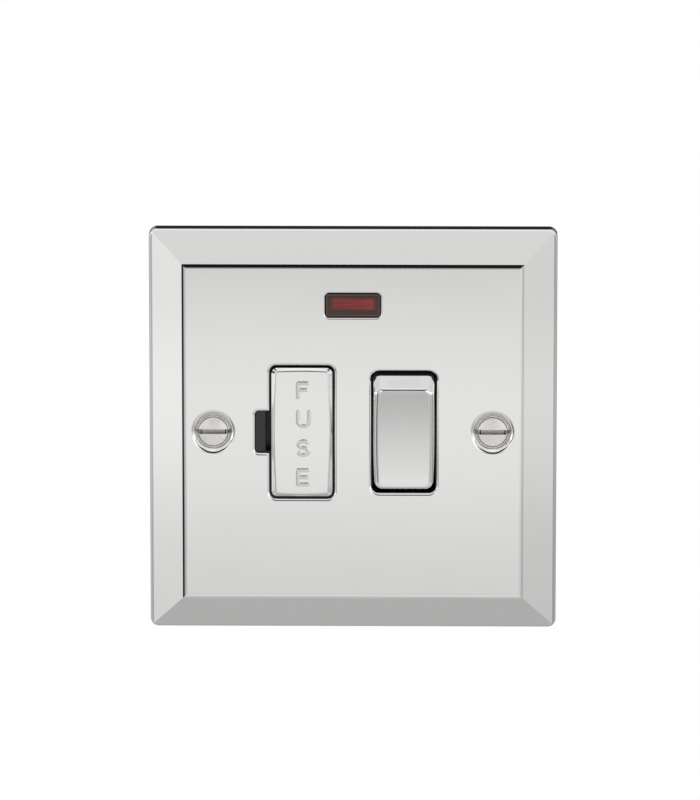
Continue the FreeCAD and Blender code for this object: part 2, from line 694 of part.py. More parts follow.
def make_fixing_screws():
    """Raised countersunk screws with a slot. Their cones sit in the faceplate's dimples."""
    rim_back = s.plate_front - (s.dimple_radius - s.fixing_head - s.seat_clearance)
    neck_front = rim_back - (s.fixing_head - s.fixing_neck)
    rim_front = rim_back + s.fixing_head_rim
    flat = rim_front + s.fixing_head_bevel
    top = flat + s.fixing_head_dome
    tip = top - s.fixing_length
    thread_front = s.plate_front - s.dimple_radius
    for side, sign in SIDES:
        body = new_body(f"fixing_screw_{side}", x=s.fixing_centres / 2 * sign)
        profile = Drawing(body, "profile", "top")
        profile.outline(
            (0, -top, dome(s.fixing_head_flat, s.fixing_head_dome), -1),
            (0, -tip),
            (s.fixing_radius - s.fixing_tip, -tip),
            (s.fixing_radius, -(tip + s.fixing_tip)),
            (s.fixing_radius, -(thread_front - s.fixing_radius + s.fixing_neck)),
            (s.fixing_neck, -thread_front),
            (s.fixing_neck, -neck_front),
            (s.fixing_head, -rim_back),
            (s.fixing_head, -rim_front),
            (s.fixing_head_flat, -flat),
        )
        turned(body, "turned", profile)
        slot = Drawing(body, "slot", "front", top)
        slot.rectangle(0, 0, s.fixing_head * 3, s.fixing_slot_width)
        pocket(body, "slot_cut", slot, s.fixing_slot_depth)


def corners(x, z):
    """The four mirrored places at x, z from the middle."""
    return (("left_top", -x, z), ("right_top", x, z), ("left_bottom", -x, -z), ("right_bottom", x, -z))


def make_plate_pillars():
    """Threaded pillars, clinched to the faceplate's back; the assembly screws end in them."""
    back_of_plate = s.plate_front - s.sheet
    for name, x, z in corners(s.pillar_x, s.pillar_z):
        body = new_body(f"plate_pillar_{name}", x=x, z=z)
        profile = Drawing(body, "profile", "top")
        profile.outline(
            (0, -back_of_plate),
            (s.pillar_radius, -back_of_plate),
            (s.pillar_radius, s.split_rear),
            (s.screw_radius + s.screw_clearance, s.split_rear),
            (s.screw_radius + s.screw_clearance, s.pillar_floor - back_of_plate),
            (0, s.pillar_floor - back_of_plate),
        )
        turned(body, "turned", profile)


def make_assembly_screws():
    """Pan-head screws. They hold both mouldings and the earth strap against the pillars."""
    tip = s.pillar_floor + s.screw_end_gap - (s.plate_front - s.sheet)
    for name, x, z in corners(s.pillar_x, s.pillar_z):
        body = new_body(f"assembly_screw_{name}", x=x, z=z)
        profile = Drawing(body, "profile", "top")
        profile.outline(
            (0, tip),
            (s.screw_radius, tip),
            (s.screw_radius, s.screw_seat_rear),
            (s.screw_head, s.screw_seat_rear),
            (s.screw_head, s.screw_seat_rear + s.screw_head_height),
            (0, s.screw_seat_rear + s.screw_head_height),
        )
        turned(body, "turned", profile)
        slot = Drawing(body, "slot", "front", -(s.screw_seat_rear + s.screw_head_height))
        slot.rectangle(0, 0, s.screw_head * 3, s.screw_slot_width)
        pocket(body, "slot_cut", slot, s.screw_slot_depth, backwards=True)


LOAD_TERMINALS = (
    ("load_live", s.load_live_x),
    ("load_earth", s.load_earth_x),
    ("load_neutral", s.load_neutral_x),
)
SUPPLY_TERMINALS = (
    ("supply_earth", s.supply_earth_x),
    ("supply_live", s.supply_live_x),
    ("supply_neutral", s.supply_neutral_x),
)
TERMINALS = [(name, x, 1) for name, x in LOAD_TERMINALS] + [(name, x, -1) for name, x in SUPPLY_TERMINALS]


def make_front_housing():
    """Black moulding behind the panel: wells for the carrier and the rocker, the rocker's bearings,
    a seat for the neon lens, saddles for its lamp, and the ledge and groove of the notch."""
    body = new_body("front_housing")
    front = s.plate_front - s.sheet
    depth = front + s.split_rear
    inside = depth - s.front_wall
    outer = Drawing(body, "outer", "front", -s.split_rear)
    outer.rectangle(0, 0, s.housing_width, s.housing_height, s.housing_corner)
    pad(body, "shell", outer, depth)
    inner = Drawing(body, "inner", "front", -s.split_rear)
    inner.rectangle(
        0,
        0,
        s.housing_width - s.housing_wall * 2,
        s.housing_height - s.housing_wall * 2,
        s.housing_corner - s.housing_wall / 2,
    )
    pocket(body, "hollow", inner, inside, backwards=True)
    fuse_width = s.carrier_width + s.slide_clearance * 2
    fuse_height = s.carrier_height + s.slide_clearance * 2
    rocker_width = s.rocker_base_width - s.slide_body_inset * 2 + s.rocker_side_gap * 2
    rocker_height = (s.rocker_sweep + s.rocker_gap) * 2
    for name, x, width, height in (
        ("fuse_well", s.fuse_x, fuse_width, fuse_height),
        ("rocker_well", s.rocker_x, rocker_width, rocker_height),
    ):
        wall = Drawing(body, name, "front", -s.split_rear)
        wall.rectangle(x, 0, width + s.well_wall * 2, height + s.well_wall * 2, s.carrier_corner)
        pad(body, f"{name}_walls", wall, inside)
    for name, x, z in corners(s.pillar_x, s.pillar_z):
        boss = Drawing(body, f"boss_{name}", "front", -s.split_rear)
        boss.circle(x, z, s.boss_radius)
        pad(body, f"boss_{name}_pad", boss, inside)
    openings = Drawing(body, "openings", "front", front)
    openings.rectangle(s.fuse_x, 0, fuse_width, fuse_height, s.carrier_corner)
    openings.rectangle(s.rocker_x, 0, rocker_width, rocker_height)
    openings.rectangle(0, s.neon_z, s.lens_hollow_width, s.lens_hollow_height)
    for _, x, z in corners(s.pillar_x, s.pillar_z):
        openings.circle(x, z, s.pillar_radius + s.pillar_clearance)
    pocket(body, "openings_cut", openings)
    lens_width = s.neon_width + (s.lens_flange + s.lens_clearance) * 2
    lens_height = s.neon_height + (s.lens_flange_height + s.lens_clearance) * 2
    lens_seat = Drawing(body, "lens_seat", "front", front)
    lens_seat.rectangle(0, s.neon_z, lens_width, lens_height)
    pocket(body, "lens_seat_cut", lens_seat, s.lens_flange_depth + s.lens_clearance)
    # saddles: the lamp lies in the first two, the resistor in the third
    wall_back = front - s.front_wall
    for name, x, radius in (
        ("lamp_left", -s.saddle_x, s.lamp_radius),
        ("lamp_right", s.saddle_x, s.lamp_radius),
        ("resistor", s.resistor_x, s.resistor_radius),
    ):
        rib = Drawing(body, f"saddle_{name}", "side", x - s.saddle / 2)
        rib.box(-wall_back, -s.lamp_front, s.neon_z - s.lamp_radius * 1.5, s.neon_z + s.lamp_radius * 1.5)
        pad(body, f"saddle_{name}_rib", rib, s.saddle)
        seat = Drawing(body, f"saddle_{name}_seat", "side", x - s.saddle / 2)
        seat.circle(-s.lamp_front, s.neon_z, radius + s.lamp_seat_clearance)
        pocket(body, f"saddle_{name}_cut", seat, s.saddle, backwards=True)
    # bearings of the trunnions, through both side walls of the rocker's well
    bearing = Drawing(body, "bearing", "side", s.rocker_x)
    bearing.circle(s.pivot_rear, 0, s.trunnion_radius + s.trunnion_clearance)
    bearing_run = rocker_width + s.well_wall * 2
    pocket(body, "bearing_cut", bearing, bearing_run, symmetric=True)
    # the ledge fills the plate's notch and falls towards a groove beside the carrier
    well_left = s.fuse_x - fuse_width / 2
    notch_left = s.fuse_x - s.fuse_cutout_width / 2 - s.notch_depth
    ledge_left = notch_left + s.ledge_clearance
    ledge_right = ledge_left + s.ledge_width
    ledge_height = s.notch_height - s.ledge_clearance * 2
    ledge = Drawing(body, "ledge", "top", -(ledge_height / 2))
    ledge.outline(
        (ledge_left, -front),
        (ledge_left, -s.ledge_front),
        (ledge_right, s.ledge_slope - s.ledge_front),
        (ledge_right, -front),
    )
    pad(body, "ledge_pad", ledge, ledge_height)

    def on_ledge_corner(point):
        return near(point.x, ledge_left) and near(abs(point.z), ledge_height / 2)

    rounded(body, "ledge_corners", s.notch_corner - s.ledge_clearance, on_ledge_corner)
    groove = Drawing(body, "groove", "front", front)
    groove.box(ledge_right, well_left + s.slide_clearance, -(ledge_height / 2), ledge_height / 2)
    pocket(body, "groove_cut", groove, s.groove_depth)


def make_rear_cover():
    """Moulded base: a chamber for the contacts, six open bays for the terminals with access from
    behind, counterbored screw posts, partitions between the poles, and cored-out pockets."""
    body = new_body("rear_cover")
    bay_floor = s.strip_front
    chamber_floor = s.strip_front + s.strip
    shell = Drawing(body, "shell", "front", -s.housing_rear)
    shell.rectangle(0, 0, s.housing_width, s.housing_height, s.housing_corner)
    pad(body, "shell_pad", shell, s.housing_rear - s.split_rear)
    chamfered(body, "back_edge", s.cover_edge, lambda point: near(point.y, s.housing_rear))
    inner_width = s.housing_width - s.housing_wall * 2
    chamber = Drawing(body, "chamber", "front", -s.split_rear)
    chamber.rectangle(0, 0, inner_width, s.cavity_half_height * 2)
    pocket(body, "chamber_cut", chamber, chamber_floor - s.split_rear)
    # hollows in front of the bays
    hollow_low = s.bay_start + s.well_wall
    hollow_high = s.housing_height / 2 - s.housing_wall
    for name, sign in (("top", 1), ("bottom", -1)):
        hollow = Drawing(body, f"hollow_{name}", "front", -s.split_rear)
        middle = (hollow_low + hollow_high) / 2 * sign
        hollow.rectangle(0, middle, inner_width, hollow_high - hollow_low)
        pocket(body, f"hollow_{name}_cut", hollow, bay_floor - s.housing_wall - s.split_rear)
    for name, x, z in corners(s.pillar_x, s.pillar_z):
        post = Drawing(body, f"post_{name}", "front", -chamber_floor)
        post.circle(x, z, s.boss_radius)
        pad(body, f"post_{name}_pad", post, chamber_floor - s.split_rear)
    partitions = Drawing(body, "partitions", "front", -chamber_floor)
    left_wall = s.fuse_x + s.carrier_width / 2 + s.well_wall * 1.4
    right_wall = s.rocker_x - s.rocker_base_width / 2 - s.well_wall * 1.4
    partition_height = (s.strap_jog_z - s.strap_width) * 2
    for x in (left_wall, right_wall):
        partitions.rectangle(x, 0, s.well_wall, partition_height)
    pad(body, "partitions_pad", partitions, chamber_floor - s.split_rear)
    barrier = Drawing(body, "barrier", "front", -chamber_floor)
    barrier.rectangle(s.rocker_x, 0, s.strip, s.cavity_half_height)
    pad(body, "barrier_pad", barrier, chamber_floor - s.barrel_rear - s.housing_wall)
    # towers under the fuse clips
    clip_back = s.fuse_middle + s.fuse_cap_radius + s.clip_base_gap + s.clip_sheet
    clip_outer = s.fuse_length / 2 - s.clip_inset
    for name, sign in (("top", 1), ("bottom", -1)):
        tower = Drawing(body, f"tower_{name}", "front", -chamber_floor)
        tower_height = s.clip_length - s.clip_sheet - s.strip_clearance
        middle = (clip_outer - tower_height / 2) * sign
        tower.rectangle(s.fuse_x, middle, s.fuse_cap_radius, tower_height)
        pad(body, f"tower_{name}_pad", tower, chamber_floor - clip_back)
    # terminal bays, open to the edge and to the back
    bay_end = s.housing_height / 2 + s.housing_wall
    bays = Drawing(body, "bays", "front", -s.housing_rear)
    for _, x, sign in TERMINALS:
        bay_width = s.block_width + s.block_clearance * 2
        bays.rectangle(x, (s.bay_start + bay_end) / 2 * sign, bay_width, bay_end - s.bay_start)
    pocket(body, "bays_cut", bays, s.housing_rear - bay_floor, backwards=True)
    # slots where the strips and the earth strap's legs pass through
    slot_width = s.strip_width + s.strip_clearance * 2
    slots = Drawing(body, "slots", "front", -bay_floor)
    slot_middle = (s.cavity_half_height + s.bay_start) / 2
    slot_height = s.bay_start - s.cavity_half_height + s.strip_clearance * 4
    for x, sign in (
        (live_load_x(), 1),
        (s.rocker_x + s.pole_offset, 1),
        (s.rocker_x - s.pole_offset, -1),
        (s.rocker_x + s.pole_offset, -1),
    ):
        slots.rectangle(x, slot_middle * sign, slot_width, slot_height)
    link_top = s.tip_z
    slots.rectangle(right_wall, link_top, s.well_wall + s.strip_clearance * 2, slot_width)
    slots.rectangle(left_wall, -fuse_link_z(), s.well_wall + s.strip_clearance * 2, slot_width)
    pocket(body, "slots_cut", slots, s.strip)
    legs = Drawing(body, "legs", "front", -bay_floor)
    for x, sign in ((s.load_earth_x, 1), (s.supply_earth_x, -1)):
        legs.rectangle(x, s.strap_leg_z * sign, slot_width, s.strip + s.strip_clearance * 2)
    for sign in (-1, 1):
        legs.circle(s.lead_x * sign, s.neon_z, s.lead_radius + s.lead_clearance)
    pocket(body, "legs_cut", legs, s.housing_wall, backwards=True)
    # the earth strap lies in a recess of the front edge
    recess = Drawing(body, "strap_recess", "front", -s.split_rear)
    strap_outline(recess, s.strip_clearance)
    pocket(body, "strap_recess_cut", recess, s.strip)
    # screw holes with deep counterbores
    bore = Drawing(body, "counterbores", "front", -s.housing_rear)
    hole = Drawing(body, "screw_holes", "front", -s.screw_seat_rear)
    for _, x, z in corners(s.pillar_x, s.pillar_z):
        bore.circle(x, z, s.screw_head + s.screw_head_clearance)
        hole.circle(x, z, s.screw_radius + s.screw_hole_clearance)
    pocket(body, "counterbores_cut", bore, s.housing_rear - s.screw_seat_rear, backwards=True)
    pocket(body, "screw_holes_cut", hole, s.screw_seat_rear - s.split_rear, backwards=True)
    # cored-out pockets between ribs
    cores = Drawing(body, "cores", "front", -s.housing_rear)
    count = 5
    span = inner_width - s.core_rib * (count - 1)
    for column in range(count):
        width = span / count
        x = (width + s.core_rib) * (column - (count - 1) / 2)
        for sign in (-1, 1):
            height = s.core_half_height - s.core_rib / 2
            z = (s.core_half_height + s.core_rib / 2) / 2 * sign
            cores.rectangle(x, z, width, height, s.block_corner)
    pocket(body, "cores_cut", cores, s.core_depth, backwards=True)


def live_load_x():
    """Middle of the live load strip where it leaves the chamber."""
    return s.load_live_x + s.block_width / 2 - s.strip_width / 2 + s.block_clearance


def fuse_link_z():
    """Height of the fuse clips' bars, above and below the middle."""
    return s.fuse_length / 2 - s.clip_inset - s.clip_length + s.clip_sheet - s.strip_width / 2


def strap_outline(drawing, margin):
    """The earth strap's flat, grown by a margin: an eye under one pillar, a bar down the middle and
    a sideways run to the supply earth terminal."""
    half = s.strap_width / 2 + margin
    end = s.strap_leg_z + s.strip / 2 + margin
    arm_z = s.pillar_z
    eye = s.strap_eye + margin
    jog = s.strap_jog_z
    supply = s.supply_earth_x
    load = s.load_earth_x
    drawing.outline(
        (load + half, end),
        (load - half, end),
        (load - half, arm_z + half),
        (-s.pillar_x, arm_z + half),
        (-s.pillar_x - eye, arm_z + half - s.block_corner),
        (-s.pillar_x - eye, arm_z - half + s.block_corner),
        (-s.pillar_x, arm_z - half),
        (load - half, arm_z - half),
        (load - half, half - jog),
        (supply - half, half - jog),
        (supply - half, -end),
        (supply + half, -end),
        (supply + half, -jog - half),
        (load + half, -jog - half),
    )


def make_terminals():
    """Brass blocks with a wire bore along Z, open to the edge, and a clamp screw from behind.

    The screws are backed out, as on a new unit, so that the wire bores are free.
    """
    tip = s.bore_depth + s.bore_radius + s.clamp_lift
    head = s.block_depth + s.clamp_head_lift
    top = head + s.clamp_head_height
    for name, x, sign in TERMINALS:
        place = {"x": x, "y": s.strip_front + s.strip, "z": s.terminal_z * sign}
        block = new_body(f"{name}_terminal", **place)
        face = Drawing(block, "face", "front")
        face.rectangle(0, 0, s.block_width, s.block_height, s.block_corner)
        pad(block, "blank", face, s.block_depth, backwards=True)
        bore = Drawing(block, "bore", "top", -(s.block_height / 2))
        bore.circle(0, s.bore_depth, s.bore_radius)
        pocket(block, "bore_cut", bore, backwards=True)
        tapped = Drawing(block, "tapped", "front", -s.block_depth)
        tapped.circle(0, 0, s.clamp_radius + s.clamp_clearance)
        pocket(block, "tapped_cut", tapped, s.block_depth - s.bore_depth, backwards=True)
        screw = new_body(f"{name}_clamp_screw", **place)
        profile = Drawing(screw, "profile", "top")
        profile.outline(
            (0, tip),
            (s.clamp_radius, tip),
            (s.clamp_radius, head),
            (s.clamp_head, head),
            (s.clamp_head, top),
            (0, top),
        )
        turned(screw, "turned", profile)
        slot = Drawing(screw, "slot", "front", -top)
        slot.rectangle(0, 0, s.clamp_head * 3, s.screw_slot_width)
        pocket(screw, "slot_cut", slot, s.screw_slot_depth, backwards=True)


def add_foot(body, x, sign):
    """The flat end of a strip, between the bay's floor and its terminal block."""
    low = s.bay_start + s.strip_clearance
    high = s.terminal_z + s.block_height / 2
    foot = Drawing(body, "foot", "front", -s.strip_front)
    foot.rectangle(x, (low + high) / 2 * sign, s.block_width, high - low)
    pad(body, "foot_pad", foot, s.strip, backwards=True)


def tip_hole(body, x):
    """Hole for the stem of a fixed tip."""
    hole = Drawing(body, "tip_hole", "front", -s.strip_front)
    hole.circle(x, s.tip_z, s.tip_stem + s.tip_stem_clearance)
    pocket(body, "tip_hole_cut", hole, s.strip)


def make_fuse_clips():
    """Each clip is one bent piece: sprung jaws round a cap of the fuse, a leg down to the chamber's
    floor, and a bar. The top bar ends at the load live terminal, the bottom one at a fixed contact."""
    grip = s.fuse_cap_radius + s.clip_clearance
    base = s.fuse_middle + s.fuse_cap_radius + s.clip_base_gap
    mouth = s.fuse_middle - s.clip_mouth
    outer = s.fuse_length / 2 - s.clip_inset
    inner = outer - s.clip_length
    half = s.strip_width / 2
    foot_low = s.bay_start + s.strip_clearance
    link_low = fuse_link_z() - half
    link_high = fuse_link_z() + half
    x = s.fuse_x
    riser = live_load_x()
    pole = s.rocker_x - s.pole_offset
    bars = {
        "top": (
            (riser - half, link_low),
            (x + half, link_low),
            (x + half, link_high),
            (riser + half, link_high),
            (riser + half, foot_low),
            (riser - half, foot_low),
        ),
        "bottom": (
            (x - half, -link_high),
            (half, -link_high),
            (half, s.tip_z - half),
            (pole + half, s.tip_z - half),
            (pole + half, s.tip_z + half),
            (-half, s.tip_z + half),
            (-half, -link_low),
            (x - half, -link_low),
        ),
    }
    for name, jaw_start, leg_z in (
        ("top", inner, inner + s.clip_sheet / 2),
        ("bottom", -outer, -(inner + s.clip_sheet / 2)),
    ):
        body = new_body(f"fuse_clip_{name}")
        jaws = Drawing(body, "jaws", "top", jaw_start)
        jaws.outline(
            (x - grip, base),
            (x + grip, base),
            (x + grip, mouth),
            (x + grip + s.clip_lip / 2, mouth - s.clip_lip),
            (x + grip + s.clip_sheet + s.clip_lip / 2, mouth - s.clip_lip),
            (x + grip + s.clip_sheet, mouth),
            (x + grip + s.clip_sheet, base + s.clip_sheet),
            (x - grip - s.clip_sheet, base + s.clip_sheet),
            (x - grip - s.clip_sheet, mouth),
            (x - grip - s.clip_sheet - s.clip_lip / 2, mouth - s.clip_lip),
            (x - grip - s.clip_lip / 2, mouth - s.clip_lip),
            (x - grip, mouth),
        )
        pad(body, "jaws_pad", jaws, s.clip_length)
        leg = Drawing(body, "leg", "front", -base)
        leg.rectangle(x, leg_z, s.strip_width, s.clip_sheet)
        pad(body, "leg_pad", leg, s.strip_front + s.strip - base, backwards=True)
        bar = Drawing(body, "bar", "front", -s.strip_front)
        bar.outline(*bars[name])
        pad(body, "bar_pad", bar, s.strip, backwards=True)
        if name == "top":
            add_foot(body, s.load_live_x, 1)
        else:
            tip_hole(body, pole)


def make_strips():
    """Flat bars on the chamber's floor. The supply bars carry the knife edges, one for each pole."""
    half = s.strip_width / 2
    foot_edge = s.bay_start + s.strip_clearance
    load = new_body("load_neutral_strip")
    pole = s.rocker_x + s.pole_offset
    bar = Drawing(load, "bar", "front", -s.strip_front)
    bar.box(pole - half, pole + half, s.tip_z - half, foot_edge)
    pad(load, "bar_pad", bar, s.strip, backwards=True)
    add_foot(load, s.load_neutral_x, 1)
    tip_hole(load, pole)
    for name, sign in POLES:
        body = new_body(f"supply_{name}_strip")
        pole = s.rocker_x + s.pole_offset * sign
        bar = Drawing(body, "bar", "front", -s.strip_front)
        bar.box(pole - half, pole + half, -foot_edge, half)
        pad(body, "bar_pad", bar, s.strip, backwards=True)
        add_foot(body, s.supply_live_x if name == "live" else s.supply_neutral_x, -1)
        post = Drawing(body, "post", "side", pole)
        post.box(s.seesaw_rear, s.strip_front, -s.knife_radius, s.knife_radius)
        pad(body, "post_pad", post, s.strip_width, symmetric=True)
        edge = Drawing(body, "edge", "side", pole)
        edge.circle(s.seesaw_rear, 0, s.knife_radius)
        pad(body, "edge_pad", edge, s.strip_width, symmetric=True)


def make_poles():
    """Two poles: a see-saw contact with its silver tip, the fixed tip, and the sprung plunger in the
    rocker that pushes the see-saw over. The rocker is at ON, so the tips are closed."""
    dome_edge = s.tip_height - s.tip_dome - s.seesaw_lift
    clinch = s.seesaw_lift + s.seesaw_sheet
    for name, sign in POLES:
        pole = s.rocker_x + s.pole_offset * sign
        rocking = {"x": pole, "y": s.seesaw_rear, "turn": s.seesaw_tilt, "turn_axis": (-1, 0, 0)}
        contact = new_body(f"moving_contact_{name}", **rocking)
        arm = Drawing(contact, "arm", "side")
        arm.box(-clinch, -s.seesaw_lift, -s.seesaw_down, s.seesaw_up)
        pad(contact, "arm_pad", arm, s.seesaw_width, symmetric=True)
        groove = Drawing(contact, "groove", "side")
        groove.circle(0, 0, s.seesaw_groove)
        pocket(contact, "groove_cut", groove, s.seesaw_width * 2, symmetric=True)
        hole = Drawing(contact, "hole", "front", clinch)
        hole.circle(0, s.tip_z, s.tip_stem + s.tip_stem_clearance)
        pocket(contact, "hole_cut", hole)
        tip = new_body(f"moving_tip_{name}", **rocking)
        rivet = Drawing(tip, "rivet", "top", s.tip_z)
        rivet.outline(
            (0, -(clinch + s.tip_clinch)),
            (s.tip_stem * 1.5, -(clinch + s.tip_clinch)),
            (s.tip_stem * 1.5, -clinch),
            (s.tip_stem, -clinch),
            (s.tip_stem, -s.seesaw_lift),
            (s.tip_radius, -s.seesaw_lift),
            (s.tip_radius, dome_edge),
            (0, dome_edge + s.tip_dome, dome(s.tip_radius, s.tip_dome), 1),
        )
        turned(tip, "turned", rivet)
        fixed = new_body(f"fixed_tip_{name}", x=pole, y=s.strip_front, z=s.tip_z)
        button = Drawing(fixed, "button", "top")
        button.outline(
            (0, -s.fixed_tip_height),
            (s.tip_radius, -s.fixed_tip_height),
            (s.tip_radius, 0),
            (s.tip_stem, 0),
            (s.tip_stem, s.strip),
            (0, s.strip),
        )
        turned(fixed, "turned", button)
        sliding = {"x": pole, "y": s.pivot_rear, "turn": s.rocker_tilt}
        plunger = new_body(f"plunger_{name}", **sliding)
        shank = s.barrel_bore - s.plunger_clearance
        ball = s.plunger_reach - s.plunger_tip
        shape = Drawing(plunger, "shape", "top")
        shape.outline(
            (0, s.plunger_front - s.plunger_pin_length),
            (s.plunger_pin, s.plunger_front - s.plunger_pin_length),
            (s.plunger_pin, s.plunger_front),
            (shank, s.plunger_front),
            (shank, ball - (shank - s.plunger_tip)),
            (s.plunger_tip, ball),
            (0, s.plunger_reach, s.plunger_tip, 1),
        )
        turned(plunger, "turned", shape)
        spring = new_body(f"plunger_spring_{name}", **sliding)
        start = s.spring_end_gap + s.spring_wire - s.barrel_floor
        wire = Drawing(spring, "wire", "top")
        wire.rectangle(s.spring_radius, start, s.spring_wire * 2, s.spring_wire * 2)
        coil = feature(spring, "AdditiveHelix", "coil", wire)
        coil.Mode = "height-turns-angle"
        coil.ReferenceAxis = (wire.sketch, ["V_Axis"])
        bind(coil, "Height", s.plunger_front - s.spring_end_gap - s.spring_wire - start)
        bind(coil, "Turns", s.spring_turns)


def rocker_section(level):
    """Width and height of the chrome face inside its bows, at this distance from the pivot."""
    share = (level - s.rocker_base) / (s.rocker_face - s.rocker_base)
    face_width = s.rocker_face_width - s.rocker_bow * 2
    face_height = s.rocker_face_height - s.rocker_end_bow * 2
    width = s.rocker_base_width - (s.rocker_base_width - face_width) * share
    height = s.rocker_base_height - (s.rocker_base_height - face_height) * share
    return width, height


def make_rocker():
    """Black body under a chrome face. It turns on two trunnions in the front housing, and its two
    barrels hold the plungers. Its curved ends stay close to the well at every tilt."""
    place = {"x": s.rocker_x, "y": s.pivot_rear, "turn": s.rocker_tilt}
    inset = (s.cap_sheet + s.cap_clearance) * 2.4
    cap_inset = s.cap_sheet * 2.4
    cap_roof = s.rocker_face - s.cap_sheet
    plug_top = cap_roof - s.cap_clearance
    slab_front = s.rocker_base - s.cap_clearance
    body = new_body("rocker", **place)
    width = s.rocker_base_width - s.slide_body_inset * 2
    front_end = root(s.rocker_sweep * s.rocker_sweep - slab_front * slab_front)
    back_end = root(s.rocker_sweep * s.rocker_sweep - s.rocker_floor * s.rocker_floor)
    slab = Drawing(body, "slab", "side")
    slab.outline(
        (-slab_front, -front_end, s.rocker_sweep, -1),
        (-slab_front, front_end),
        (-s.rocker_floor, back_end, s.rocker_sweep, -1),
        (-s.rocker_floor, -back_end),
    )
    pad(body, "slab_pad", slab, width, symmetric=True)
    hollow = Drawing(body, "hollow", "front", s.rocker_floor)
    hollow.rectangle(0, 0, width - s.rocker_wall * 2, (front_end - s.rocker_wall) * 2)
    roof = slab_front - s.rocker_wall
    pocket(body, "hollow_cut", hollow, roof - s.rocker_floor, backwards=True)
    plug_low = Drawing(body, "plug_low", "front", slab_front)
    low_width, low_height = rocker_section(slab_front)
    plug_low.rectangle(0, 0, low_width - inset, low_height - inset)
    plug_high = Drawing(body, "plug_high", "front", plug_top)
    high_width, high_height = rocker_section(plug_top)
    plug_high.rectangle(0, 0, high_width - inset, high_height - inset)
    loft(body, "plug", plug_low, plug_high)
    for side, sign in SIDES:
        face = width / 2 * sign
        web = Drawing(body, f"web_{side}", "side", face)
        web.box(-roof, 0, -s.trunnion_boss, s.trunnion_boss)
        pad(body, f"web_{side}_pad", web, s.rocker_wall, backwards=sign > 0)
        end = Drawing(body, f"web_end_{side}", "side", face)
        end.circle(0, 0, s.trunnion_boss)
        pad(body, f"web_end_{side}_pad", end, s.rocker_wall, backwards=sign > 0)
        pin = Drawing(body, f"trunnion_{side}", "side", face)
        pin.circle(0, 0, s.trunnion_radius)
        reach = s.rocker_side_gap + s.well_wall - s.slide_body_inset
        pad(body, f"trunnion_{side}_pad", pin, reach, backwards=sign < 0)
    barrels = Drawing(body, "barrels", "front", -s.barrel_rear)
    bores = Drawing(body, "bores", "front", -s.barrel_rear)
    for _, sign in POLES:
        barrels.circle(s.pole_offset * sign, 0, s.barrel_radius)
        bores.circle(s.pole_offset * sign, 0, s.barrel_bore)
    pad(body, "barrels_pad", barrels, s.barrel_rear + roof)
    pocket(body, "bores_cut", bores, s.barrel_rear + s.barrel_floor, backwards=True)
    cap = new_body("rocker_cap", **place)
    low = Drawing(cap, "low", "front", s.rocker_base)
    low.rectangle(0, 0, s.rocker_base_width, s.rocker_base_height, s.rocker_corner)
    high = Drawing(cap, "high", "front", s.rocker_face)
    high.bowed(
        s.rocker_face_width,
        s.rocker_face_height,
        s.rocker_bow,
        s.rocker_end_bow,
        s.rocker_face_corner,
    )
    loft(cap, "outside", low, high)
    inner_low = Drawing(cap, "inner_low", "front", s.rocker_base)
    inner_low.rectangle(0, 0, s.rocker_base_width - cap_inset, s.rocker_base_height - cap_inset)
    roof_width, roof_height = rocker_section(cap_roof)
    inner_high = Drawing(cap, "inner_high", "front", cap_roof)
    inner_high.rectangle(0, 0, roof_width - cap_inset, roof_height - cap_inset)
    loft(cap, "inside", inner_low, inner_high, cut=True)
    rounded(cap, "face_edges", s.rocker_edge, lambda point: near(-point.y, s.rocker_face))


